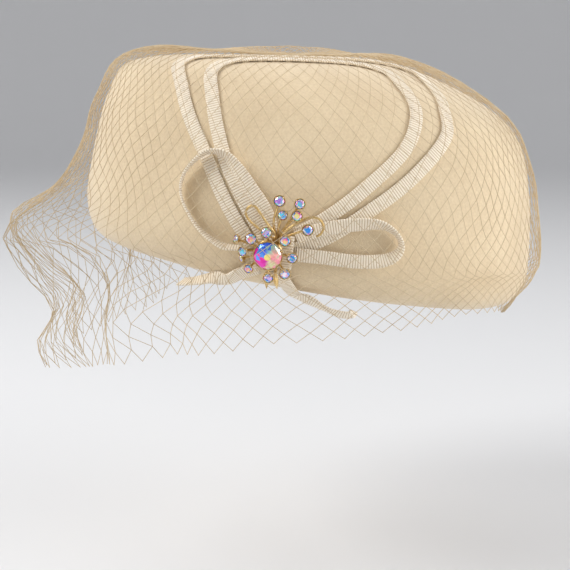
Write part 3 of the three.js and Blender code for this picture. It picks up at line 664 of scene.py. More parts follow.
@dataclass
class ThreadTrees:
    """The geometry trees for threads, wires and claws. A claw bends from its foot to its tip, inwards."""

    knot_segments: int = 4
    knot_rings: int = 2
    claw_steps: int = 5
    claw_foot: tuple = (0, 0, -1.3 * MM)
    claw_bend: tuple = (0.1 * MM, 0, 0.4 * MM)
    claw_tip: tuple = (-0.55 * MM, 0, 0.5 * MM)

    def __post_init__(self) -> None:
        """Builds each tree once."""
        self.thread = self._thread()
        self.claw = self._claw()

    def _thread(self) -> bpy.types.NodeTree:
        """Builds round threads along loose edges, with a small knot at each marked point.

        Returns:
            The tree.
        """
        sockets = [
            ("Geometry", "INPUT", "NodeSocketGeometry"),
            ("Radius", "INPUT", "NodeSocketFloat"),
            ("Sides", "INPUT", "NodeSocketInt"),
            ("Knot radius", "INPUT", "NodeSocketFloat"),
            ("Material", "INPUT", "NodeSocketMaterial"),
            ("Geometry", "OUTPUT", "NodeSocketGeometry"),
        ]
        tree = new_group("round_threads", "GeometryNodeTree", sockets)
        given = tree.node("NodeGroupInput").outputs
        path = tree.node("GeometryNodeMeshToCurve", {"Mesh": given["Geometry"]})
        section_inputs = {"Resolution": given["Sides"], "Radius": given["Radius"]}
        section = tree.node("GeometryNodeCurvePrimitiveCircle", section_inputs)
        tube_inputs = {"Curve": path.outputs[0], "Profile Curve": section.outputs[0], "Fill Caps": True}
        tube = tree.node("GeometryNodeCurveToMesh", tube_inputs)
        marked = tree.node("GeometryNodeInputNamedAttribute", {"Name": "knot"}, data_type="BOOLEAN")
        point_inputs = {"Mesh": given["Geometry"], "Selection": marked.outputs["Attribute"]}
        points = tree.node("GeometryNodeMeshToPoints", point_inputs)
        ball_inputs = {"Segments": self.knot_segments, "Rings": self.knot_rings}
        ball_inputs |= {"Radius": given["Knot radius"]}
        ball = tree.node("GeometryNodeMeshUVSphere", ball_inputs)
        knot_inputs = {"Points": points.outputs[0], "Instance": ball.outputs[0]}
        knots = tree.node("GeometryNodeInstanceOnPoints", knot_inputs)
        joined = tree.node("GeometryNodeJoinGeometry")
        tree.tree.links.new(tube.outputs[0], joined.inputs[0])
        tree.tree.links.new(knots.outputs[0], joined.inputs[0])
        real = tree.node("GeometryNodeRealizeInstances", {"Geometry": joined.outputs[0]})
        dressed_inputs = {"Geometry": real.outputs[0], "Material": given["Material"]}
        dressed = tree.node("GeometryNodeSetMaterial", dressed_inputs)
        tree.node("NodeGroupOutput", {0: dressed.outputs[0]})
        return tree.tree

    def _claw(self) -> bpy.types.NodeTree:
        """Builds one bent claw at each point, turned as the point's attribute says.

        Returns:
            The tree.
        """
        sockets = [
            ("Geometry", "INPUT", "NodeSocketGeometry"),
            ("Radius", "INPUT", "NodeSocketFloat"),
            ("Sides", "INPUT", "NodeSocketInt"),
            ("Material", "INPUT", "NodeSocketMaterial"),
            ("Geometry", "OUTPUT", "NodeSocketGeometry"),
        ]
        tree = new_group("bent_claws", "GeometryNodeTree", sockets)
        given = tree.node("NodeGroupInput").outputs
        bend_inputs = {
            "Resolution": self.claw_steps,
            "Start": self.claw_foot,
            "Middle": self.claw_bend,
            "End": self.claw_tip,
        }
        bend = tree.node("GeometryNodeCurveQuadraticBezier", bend_inputs)
        section_inputs = {"Resolution": given["Sides"], "Radius": given["Radius"]}
        section = tree.node("GeometryNodeCurvePrimitiveCircle", section_inputs)
        claw_inputs = {"Curve": bend.outputs[0], "Profile Curve": section.outputs[0], "Fill Caps": True}
        claw = tree.node("GeometryNodeCurveToMesh", claw_inputs)
        turn = tree.node("GeometryNodeInputNamedAttribute", {"Name": "turn"}, data_type="FLOAT_VECTOR")
        points = tree.node("GeometryNodeMeshToPoints", {"Mesh": given["Geometry"]})
        placed_inputs = {
            "Points": points.outputs[0],
            "Instance": claw.outputs[0],
            "Rotation": turn.outputs["Attribute"],
        }
        placed = tree.node("GeometryNodeInstanceOnPoints", placed_inputs)
        real = tree.node("GeometryNodeRealizeInstances", {"Geometry": placed.outputs[0]})
        dressed_inputs = {"Geometry": real.outputs[0], "Material": given["Material"]}
        dressed = tree.node("GeometryNodeSetMaterial", dressed_inputs)
        tree.node("NodeGroupOutput", {0: dressed.outputs[0]})
        return tree.tree


def grown(
    name: str, source: bpy.types.Object, tree: bpy.types.NodeTree, **inputs: object
) -> bpy.types.Object:
    """Runs a geometry tree on a source and keeps the result as a plain mesh.

    Args:
        name: The new piece's name.
        source: The object with the paths or points. It is removed.
        tree: The geometry tree.
        **inputs: The tree's inputs by name, with _ for a space.

    Returns:
        The new piece.
    """
    modifier = source.modifiers.new("grow", "NODES")
    modifier.node_group = tree
    wanted = {label.replace("_", " "): value for label, value in inputs.items()}
    for item in tree.interface.items_tree:
        if item.in_out == "INPUT" and item.name in wanted:
            modifier[item.identifier] = wanted[item.name]
    graph = bpy.context.evaluated_depsgraph_get()
    mesh = bpy.data.meshes.new_from_object(source.evaluated_get(graph), depsgraph=graph)
    source.modifiers.remove(modifier)
    bpy.data.objects.remove(source)
    mesh.name = name
    mesh.shade_smooth()
    made = bpy.data.objects.new(name, mesh)
    bpy.context.scene.collection.objects.link(made)
    return made


# The crown


@dataclass(frozen=True)
class Section:
    """One level of the crown. Reaches are shares of half its length or width, heights of its height."""

    front: float
    front_up: float
    side: float
    side_up: float
    back: float
    back_up: float


SECTIONS = {
    "edge": Section(front=0.856, front_up=0.2, side=0.777, side_up=0.041, back=0.873, back_up=-0.136),
    "roll": Section(front=0.9, front_up=0.205, side=0.863, side_up=0.027, back=0.965, back_up=-0.141),
    "underside": Section(front=0.93, front_up=0.273, side=0.948, side_up=0.086, back=1.035, back_up=-0.082),
    "fullest": Section(front=0.939, front_up=0.382, side=0.995, side_up=0.205, back=1.061, back_up=0.055),
    "wall": Section(front=0.917, front_up=0.518, side=1, side_up=0.418, back=1.057, back_up=0.364),
    "upper wall": Section(front=0.882, front_up=0.691, side=0.948, side_up=0.655, back=1.009, back_up=0.6),
    "shoulder": Section(front=0.834, front_up=0.845, side=0.844, side_up=0.836, back=0.878, back_up=0.75),
    "top edge": Section(front=0.742, front_up=0.973, side=0.664, side_up=0.959, back=0.581, back_up=0.914),
    "tip": Section(front=0.454, front_up=1.005, side=0.398, side_up=0.995, back=0.297, back_up=0.986),
    "middle": Section(front=0, front_up=0.991, side=0, side_up=0.991, back=0, back_up=0.991),
}


@dataclass
class CrownShape:
    """The outer face of the crown, as a surface of an azimuth in degrees and a level from 0 to 1."""

    length: float = 229 * MM
    width: float = 211 * MM
    height: float = 110 * MM
    squareness: float = 2.25
    knot_azimuth: float = -4.5
    knot_level: float = 0.3325
    lowest_near: float = 0.14
    highest_near: float = 0.8
    site_tries: int = 12

    def _section(self, row: Section, azimuth: np.ndarray) -> np.ndarray:
        """Finds points of one section.

        Args:
            row: The section.
            azimuth: Degrees round, 0 on the near side and 90 at the back.

        Returns:
            The points.
        """
        angle = np.radians(azimuth)
        power = 2 / self.squareness
        across = np.sign(np.cos(angle)) * np.abs(np.cos(angle)) ** power
        along = np.sign(np.sin(angle)) * np.abs(np.sin(angle)) ** power
        reach = np.where(along > 0, row.back, row.front)
        slope = (row.back_up - row.front_up) / 2
        bend = (row.back_up + row.front_up) / 2 - row.side_up
        up = row.side_up + slope * along + bend * along**2
        place = [row.side * across * self.width / 2, reach * along * self.length / 2, up * self.height]
        return np.stack(place, axis=-1)

    def points(self, azimuth: np.ndarray, level: np.ndarray) -> np.ndarray:
        """Returns the surface's points."""
        rows = np.stack([self._section(row, azimuth) for row in SECTIONS.values()])
        return spline(rows, level)

    def normals(self, azimuth: np.ndarray, level: np.ndarray) -> np.ndarray:
        """Returns the ways out of the surface."""
        return outward(self.points, azimuth, level)

    def sites(self, forward: np.ndarray, up: np.ndarray) -> tuple[np.ndarray, np.ndarray]:
        """Finds the places on the near face that lie forward and up from the knot.

        Args:
            forward: Distances towards the back of the hat, in metres.
            up: Distances up, in metres.

        Returns:
            The azimuths and the levels.
        """
        knot = self.points(np.array([self.knot_azimuth]), np.array([self.knot_level]))[0]
        azimuth = np.full(len(forward), self.knot_azimuth)
        level = np.full(len(forward), self.knot_level)
        for _ in range(self.site_tries):
            here = self.points(azimuth, level)
            around = (self.points(azimuth + SMALL_TURN, level) - here) / SMALL_TURN
            along = (self.points(azimuth, level + SMALL_RISE) - here) / SMALL_RISE
            miss_y = knot[1] + forward - here[:, 1]
            miss_z = knot[2] + up - here[:, 2]
            determinant = around[:, 1] * along[:, 2] - along[:, 1] * around[:, 2]
            azimuth = azimuth + (miss_y * along[:, 2] - along[:, 1] * miss_z) / determinant
            level = level + (around[:, 1] * miss_z - miss_y * around[:, 2]) / determinant
            level = np.clip(level, self.lowest_near, self.highest_near)
        return azimuth, level

    def knot_plane(self, lift: float) -> Matrix:
        """Finds the plane of the knot.

        Args:
            lift: How far off the felt it lies.

        Returns:
            The plane, with x towards the back of the hat, y up and z away from the felt.
        """
        azimuth, level = np.array([self.knot_azimuth]), np.array([self.knot_level])
        normal = Vector(self.normals(azimuth, level)[0])
        along = Vector((0, 1, 0))
        across = (along - normal * along.dot(normal)).normalized()
        up = normal.cross(across)
        plane = Matrix((across, up, normal)).transposed().to_4x4()
        plane.translation = Vector(self.points(azimuth, level)[0]) + normal * lift
        return plane


def outward(
    surface: Callable[[np.ndarray, np.ndarray], np.ndarray], azimuth: np.ndarray, share: np.ndarray
) -> np.ndarray:
    """Finds the ways out of a surface from small steps along it.

    Args:
        surface: Gives the surface's points.
        azimuth: Degrees round.
        share: From 0 to 1 along the surface's profile.

    Returns:
        A way of length 1 for each point.
    """
    around = surface(azimuth + SMALL_TURN, share) - surface(azimuth - SMALL_TURN, share)
    above = surface(azimuth, np.minimum(share + SMALL_RISE, 1))
    along = above - surface(azimuth, np.maximum(share - SMALL_RISE, 0))
    return unit(np.cross(around, along))


@dataclass
class Crown:
    """The felt crown, a shell that is open below, with its edge turned under."""

    shape: CrownShape
    thickness: float = 2.5 * MM
    columns: int = 176
    levels: int = 90
    rim_rows: int = 4
    unevenness: float = 0.35 * MM
    unevenness_size: float = 38 * MM

    def build(self, material: bpy.types.Material) -> None:
        """Builds the shell from its two faces and its rounded rim.

        Args:
            material: The felt.
        """
        azimuths = np.tile(np.arange(self.columns) * 360 / self.columns, self.levels)
        levels = np.repeat(np.arange(self.levels) / self.levels, self.columns)
        outer = self.shape.points(azimuths, levels)
        normals = self.shape.normals(azimuths, levels)
        swell = [noise.noise(Vector(p) / self.unevenness_size) for p in outer]
        outer = outer + normals * (np.array(swell) * self.unevenness)[:, None]
        inner = outer - normals * self.thickness
        rim = self._rim(outer[: self.columns], inner[: self.columns], outer[self.columns : 2 * self.columns])
        top = self.shape.points(np.zeros(1), np.ones(1))
        below_top = top - np.array([[0, 0, self.thickness]])
        inner_up = inner.reshape(self.levels, self.columns, 3)[::-1].reshape(-1, 3)
        points = np.concatenate([inner_up, rim, outer])
        rows = 2 * self.levels + self.rim_rows
        faces = grid_faces(rows, self.columns, True)
        last_row = (rows - 1) * self.columns
        crest, hollow = len(points), len(points) + 1
        for j in range(self.columns):
            after = (j + 1) % self.columns
            faces.append((last_row + j, last_row + after, crest))
            faces.append((after, j, hollow))
        piece = new_object("crown_felt", np.concatenate([points, top, below_top]), faces)
        piece.data.shade_smooth()
        finish_piece(piece, material, "cream_felt", "crown_wall", "crown_tip")

    def _rim(self, outer: np.ndarray, inner: np.ndarray, above: np.ndarray) -> np.ndarray:
        """Rounds the felt's cut edge.

        Args:
            outer: The outer face's lowest row.
            inner: The inner face's lowest row.
            above: The outer face's next row.

        Returns:
            Rows of points, from the inner face to the outer.
        """
        middle = (outer + inner) / 2
        down = unit(outer - above)
        rows = []
        for i in range(1, self.rim_rows + 1):
            angle = math.pi * i / (self.rim_rows + 1)
            reach = (outer - inner) / 2
            rows.append(middle - reach * math.cos(angle) + down * math.sin(angle) * self.thickness / 2)
        return np.concatenate(rows)


# Ribbons


@dataclass
class Ribbon:
    """Cross-ribbed ribbon that can be laid along any path."""

    width: float = 6.35 * MM
    thickness: float = 0.75 * MM
    pitch: float = 1.2 * MM
    rib_depth: float = 0.36
    scallop: float = 0.03
    steps_per_rib: int = 4
    fewest_steps: int = 8
    section: tuple[float, ...] = (-0.5, -0.485, -0.3, 0, 0.3, 0.485, 0.5)
    edge_height: float = 0.12

    def _profile(self) -> np.ndarray:
        """Returns the section's corners, each as a share of the width and of the thickness."""
        upper = [(v, self.edge_height if abs(v) == 0.5 else 0.5) for v in self.section]
        return np.array(upper + [(v, -t) for v, t in reversed(upper)])

    def even_steps(self, path: np.ndarray) -> tuple[np.ndarray, np.ndarray]:
        """Spaces steps evenly along a path, a few to each rib.

        Args:
            path: Many points along the path.

        Returns:
            The steps as shares of the path's points, and their distances along it.
        """
        lengths = np.concatenate([[0], np.cumsum(np.linalg.norm(np.diff(path, axis=0), axis=1))])
        count = max(self.fewest_steps, round(lengths[-1] / self.pitch * self.steps_per_rib))
        wanted = np.linspace(0, lengths[-1], count + 1)
        return np.interp(wanted, lengths, np.linspace(0, 1, len(path))), wanted

    def lay(
        self,
        name: str,
        middles: np.ndarray,
        across: np.ndarray,
        through: np.ndarray,
        distances: np.ndarray,
        slant: float = 0.0,
    ) -> bpy.types.Object:
        """Lays ribbon along stations and maps it along its length.

        Args:
            name: The piece's name.
            middles: The middle of the ribbon at each station.
            across: The way across it.
            through: The way out of its face.
            distances: How far along the ribbon each station lies.
            slant: How far one edge runs on past the other at the end, in metres.

        Returns:
            The piece.
        """
        wave = np.cos(2 * np.pi * distances / self.pitch)
        profile = self._profile()
        ahead = unit(np.gradient(middles, axis=0))
        fade = smoothstep(distances, distances[-1] - self.width, distances[-1])
        rows = []
        for side, face in profile:
            reach = side * self.width * (1 + self.scallop * wave)
            height = face * self.thickness * (1 + self.rib_depth * wave)
            shift = slant * side * fade
            edge = middles + across * reach[:, None] + through * height[:, None]
            rows.append(edge + ahead * shift[:, None])
        points = np.stack(rows, axis=1).reshape(-1, 3)
        columns = len(profile)
        faces = grid_faces(len(middles), columns, True)
        last = len(points) - columns
        faces.append(tuple(range(columns))[::-1])
        faces.append(tuple(range(last, last + columns)))
        piece = new_object(name, points, [face[::-1] for face in faces])
        layer = piece.data.uv_layers.new(name="ribbon")
        corners = np.empty(len(piece.data.loops), dtype=int)
        piece.data.loops.foreach_get("vertex_index", corners)
        flat = np.stack([distances[corners // columns], profile[corners % columns, 0] * self.width], axis=-1)
        layer.data.foreach_set("uv", flat.ravel())
        piece.data.shade_smooth()
        return piece


@dataclass(frozen=True)
class BandRoute:
    """A band's ends, in ribbon widths from the knot, and its route in degrees and levels."""

    start: tuple[float, float]
    end: tuple[float, float]
    route: tuple[tuple[float, float], ...]


BAND_ROUTES = {
    "ribbon_band_inner": BandRoute(
        start=(-0.66, 1.2),
        end=(1.65, 1.2),
        route=(
            (-10.5, 0.432),
            (-16.5, 0.53),
            (-20.5, 0.642),
            (-23, 0.755),
            (-15, 0.815),
            (8, 0.828),
            (28, 0.815),
            (36.5, 0.775),
            (33, 0.718),
            (28, 0.625),
            (22.5, 0.55),
            (12, 0.472),
        ),
    ),
    "ribbon_band_outer": BandRoute(
        start=(-1.5, 0.48),
        end=(1.65, 0.1),
        route=(
            (-14.5, 0.42),
            (-20, 0.505),
            (-27, 0.605),
            (-33, 0.708),
            (-38, 0.785),
            (-34, 0.85),
            (-5, 0.872),
            (32, 0.87),
            (58, 0.835),
            (61, 0.782),
            (51, 0.735),
            (40.5, 0.66),
            (35, 0.58),
            (24.5, 0.503),
            (12.5, 0.43),
        ),
    ),
}


@dataclass
class Bands:
    """The two ribbons laid over the near side and the top."""

    shape: CrownShape
    ribbon: Ribbon
    gap: float = 0.65 * MM

    def build(self, material: bpy.types.Material) -> None:
        """Lays each band along its route.

        Args:
            material: The ribbon's material.
        """
        for name, band in BAND_ROUTES.items():
            ends = np.array([band.start, band.end]) * self.ribbon.width
            azimuths, levels = self.shape.sites(ends[:, 0], ends[:, 1])
            first, last = zip(azimuths, levels)
            route = np.array([first, *band.route, last])
            route = np.column_stack([route, np.zeros(len(route))])
            shares = np.linspace(0, 1, FINE_STEPS)
            track = spline(route, shares)
            steps, distances = self.ribbon.even_steps(self.shape.points(track[:, 0], track[:, 1]))
            track = spline(route, steps)
            normals = self.shape.normals(track[:, 0], track[:, 1])
            middles = self.shape.points(track[:, 0], track[:, 1])
            middles = middles + normals * (self.gap + self.ribbon.thickness / 2)
            across = unit(np.cross(normals, np.gradient(middles, axis=0)))
            piece = self.ribbon.lay(name + "_cloth", middles, across, normals, distances)
            finish_piece(piece, material, "grosgrain_ribbon", name)


@dataclass(frozen=True)
class BowRoute:
    """A piece of the bow: its reach, and stations of forward and up in reaches, lift in ribbon widths
    above the felt and lean in degrees from flat."""

    reach: float
    slant: float
    stations: tuple[tuple[float, float, float, float], ...]


BOW_ROUTES = {
    "bow_loop_front": BowRoute(
        reach=47 * MM,
        slant=0,
        stations=(
            (0, 0.175, 0.5, 0),
            (-0.03, 0.32, 0.5, 0),
            (-0.09, 0.44, 0.5, 0),
            (-0.188, 0.586, 0.52, -8),
            (-0.286, 0.729, 0.6, -20),
            (-0.398, 0.866, 0.75, -48),
            (-0.49, 0.914, 0.85, -74),
            (-0.6, 0.908, 0.86, -88),
            (-0.711, 0.831, 0.86, -100),
            (-0.805, 0.719, 0.82, -108),
            (-0.848, 0.6, 0.72, -112),
            (-0.839, 0.48, 0.68, -112),
            (-0.785, 0.36, 0.68, -110),
            (-0.695, 0.226, 0.68, -106),
            (-0.585, 0.129, 0.7, -98),
            (-0.449, 0.057, 0.76, -90),
            (-0.36, 0.043, 0.7, -90),
            (-0.29, 0.036, 0.62, -90),
        ),
    ),
    "bow_loop_back": BowRoute(
        reach=60 * MM,
        slant=0,
        stations=(
            (0.184, 0.1, 0.5, 0),
            (0.313, 0.15, 0.5, 0),
            (0.5, 0.184, 0.5, 6),
            (0.653, 0.196, 0.54, 20),
            (0.78, 0.194, 0.6, 42),
            (0.867, 0.165, 0.66, 66),
            (0.936, 0.105, 0.7, 84),
            (0.965, 0.036, 0.7, 88),
            (0.936, -0.03, 0.68, 70),
            (0.867, -0.07, 0.62, 44),
            (0.762, -0.085, 0.55, 20),
            (0.596, -0.078, 0.5, 6),
            (0.399, -0.048, 0.5, 0),
            (0.187, -0.026, 0.5, 0),
        ),
    ),
    "bow_tail_front": BowRoute(
        reach=40 * MM,
        slant=2.5 * MM,
        stations=(
            (-0.15, -0.157, 0.8, 0),
            (-0.354, -0.245, 0.58, 0),
            (-0.492, -0.32, 0.52, 10),
            (-0.62, -0.375, 0.6, 30),
            (-0.729, -0.403, 0.68, 50),
            (-0.84, -0.43, 0.72, 62),
            (-0.94, -0.441, 0.72, 66),
        ),
    ),
    "bow_tail_back": BowRoute(
        reach=46 * MM,
        slant=0,
        stations=(
            (0.06, -0.155, 0.82, 0),
            (0.127, -0.275, 0.6, 0),
            (0.235, -0.43, 0.5, 0),
            (0.388, -0.545, 0.55, 34),
            (0.52, -0.63, 0.6, 56),
            (0.64, -0.69, 0.62, 50),
            (0.74, -0.7, 0.64, 54),
            (0.79, -0.66, 0.66, 58),
        ),
    ),
}


@dataclass(frozen=True)
class Wrap:
    """A turn of ribbon round the knot: its place along the knot in metres and its slant in degrees."""

    offset: float
    slant: float


@dataclass
class Bow:
    """The ribbon bow: two loops, two tails and a wound knot."""

    shape: CrownShape
    ribbon: Ribbon
    hang_slack: float = 0.5 * MM
    knot_height: float = 15 * MM
    knot_depth: float = 3.5 * MM
    knot_seat: float = 1.95 * MM
    knot_wraps: tuple[Wrap, ...] = (Wrap(-6.6 * MM, 7), Wrap(0, 0), Wrap(6.6 * MM, -6))

    def build(self, material: bpy.types.Material) -> None:
        """Builds the loops, the tails and the knot.

        Args:
            material: The ribbon's material.
        """
        for name, route in BOW_ROUTES.items():
            piece = self._piece(name + "_cloth", route)
            finish_piece(piece, material, "grosgrain_ribbon", name)
        for number, wrap in enumerate(self.knot_wraps, 1):
            piece = self._wrap(f"bow_knot_wrap_{number}", wrap)
            finish_piece(piece, material, "grosgrain_ribbon", "bow_knot")

    def _piece(self, name: str, route: BowRoute) -> bpy.types.Object:
        """Lays one loop or tail through its stations.

        Args:
            name: The piece's name.
            route: Its stations.

        Returns:
            The piece.
        """
        stations = np.array(route.stations, dtype=float)
        forward, up = stations[:, 0] * route.reach, stations[:, 1] * route.reach
        azimuths, levels = self.shape.sites(forward, up)
        places = self.shape.points(azimuths, levels)
        normals = self.shape.normals(azimuths, levels)
        knot = self.shape.knot_plane(0).translation
        heights = knot.z + up
        hangs = heights < places[:, 2] - self.hang_slack
        normals[hangs, 2] = 0
        normals = unit(normals)
        places[hangs, 2] = heights[hangs]
        middles = places + normals * (stations[:, 2] * self.ribbon.width)[:, None]
        leans = np.column_stack([np.radians(stations[:, 3]), np.zeros((len(stations), 2))])
        steps, distances = self.ribbon.even_steps(spline(middles, np.linspace(0, 1, FINE_STEPS)))
        path = spline(middles, steps)
        out = unit(spline(normals, steps))
        lean = spline(leans, steps)[:, :1]
        ahead = unit(np.gradient(path, axis=0))
        flat = unit(np.cross(out, ahead))
        across = flat * np.cos(lean) + np.cross(ahead, flat) * np.sin(lean)
        through = unit(np.cross(ahead, across))
        return self.ribbon.lay(name, path, across, through, distances, route.slant)

    def _wrap(self, name: str, wrap: Wrap) -> bpy.types.Object:
        """Winds one turn of ribbon round the knot.

        Args:
            name: The piece's name.
            wrap: Where the turn lies.

        Returns:
            The piece.
        """
        plane = self.shape.knot_plane(self.knot_seat)
        angles = np.linspace(-0.5 * math.pi, 1.5 * math.pi, FINE_STEPS)
        ups = np.cos(angles) * self.knot_height / 2
        outs = (1 + np.sin(angles)) * self.knot_depth / 2
        steps, distances = self.ribbon.even_steps(np.column_stack([ups, outs, np.zeros(len(ups))]))
        angle = np.interp(steps, np.linspace(0, 1, len(angles)), angles)
        up, out = np.cos(angle) * self.knot_height / 2, (1 + np.sin(angle)) * self.knot_depth / 2
        sine, cosine = math.sin(math.radians(wrap.slant)), math.cos(math.radians(wrap.slant))
        basis = np.array(plane.to_3x3())
        local = np.stack([wrap.offset - up * sine, up * cosine, out], axis=-1)
        middles = local @ basis.T + np.array(plane.translation)
        across = np.tile(basis @ np.array([cosine, sine, 0]), (len(middles), 1))
        around = np.stack([-np.cos(angle) * sine, np.cos(angle) * cosine, np.sin(angle)], axis=-1)
        face = unit(around) @ basis.T
        return self.ribbon.lay(name, middles, -across, face, distances)


# The brooch


@dataclass(frozen=True)
class StoneSeat:
    """A small stone: place in brooch reaches, rise and width in small stone widths, tilt in degrees."""

    across: float
    up: float
    rise: float
    width: float
    tilt: float


@dataclass(frozen=True)
class LeafSeat:
    """A leaf: its middle in brooch reaches and its turn in radians."""

    across: float
    up: float
    turn: float


@dataclass(frozen=True)
class WirePoint:
    """A point of a wire: place in brooch reaches and rise in millimetres above the plate."""

    across: float
    up: float
    rise: float


STONES = {
    "stem_tip_left": StoneSeat(0.17, 1, 0.85, 1, 8),
    "stem_tip_right": StoneSeat(0.51, 0.95, 0.75, 0.92, 10),
    "stem_low_left": StoneSeat(0.22, 0.738, 0.45, 0.88, 4),
    "stem_low_right": StoneSeat(0.46, 0.734, 0.55, 0.96, 6),
    "spiral": StoneSeat(0.635, 0.475, 0.3, 1, 10),
    "crown_left": StoneSeat(-0.06, 0.41, 0.3, 1, 8),
    "shoulder_left": StoneSeat(-0.315, 0.295, 0.35, 1.06, 12),
    "outer_left": StoneSeat(-0.54, 0.25, 0.1, 0.8, 62),
    "side_left_high": StoneSeat(-0.455, 0.08, 0.55, 0.84, 14),
    "side_left_mid": StoneSeat(-0.455, -0.08, -0.1, 0.7, 66),
    "side_left_low": StoneSeat(-0.36, -0.225, 0.4, 0.84, 14),
    "foot_left": StoneSeat(-0.035, -0.385, 0.3, 0.94, 10),
    "foot_right": StoneSeat(0.245, -0.3, 0.35, 1, 10),
    "side_right": StoneSeat(0.37, -0.025, 0.3, 0.94, 10),
    "hub_right": StoneSeat(0.255, 0.275, 0.3, 1, 6),
}
STEM_BENDS = {
    "stem_tip_left": WirePoint(0.06, 0.6, 2.4),
    "stem_tip_right": WirePoint(0.34, 0.64, 0.7),
    "stem_low_left": WirePoint(0.14, 0.5, 1.2),
    "stem_low_right": WirePoint(0.24, 0.48, 1.2),
    "spiral": WirePoint(0.4, 0.38, 0.4),
}
CURLS = {
    "left loop": (
        WirePoint(0.08, 0.26, -0.3),
        WirePoint(-0.18, 0.46, 1.6),
        WirePoint(-0.36, 0.63, 2.4),
        WirePoint(-0.415, 0.76, 2.4),
        WirePoint(-0.36, 0.86, 2.4),
        WirePoint(-0.265, 0.876, 2.4),
        WirePoint(-0.19, 0.79, 2.4),
        WirePoint(-0.03, 0.56, 3.2),
        WirePoint(0.075, 0.42, 2.4),
        WirePoint(0.11, 0.26, 0),
    ),
    "right spiral": (
        WirePoint(0.13, 0.26, 0),
        WirePoint(0.24, 0.43, 3.2),
        WirePoint(0.42, 0.585, 3.8),
        WirePoint(0.6, 0.675, 3),
        WirePoint(0.71, 0.7, 2.4),
        WirePoint(0.84, 0.665, 2),
        WirePoint(0.91, 0.535, 1.8),
        WirePoint(0.87, 0.41, 1.6),
        WirePoint(0.79, 0.35, 1.5),
    ),
}


# A leaf's section, in half widths across and ridges up
LEAF_SECTION = ((-1, 0), (-0.45, 0.35), (0, 0.75), (0.45, 0.35), (1, 0), (0, -0.25))


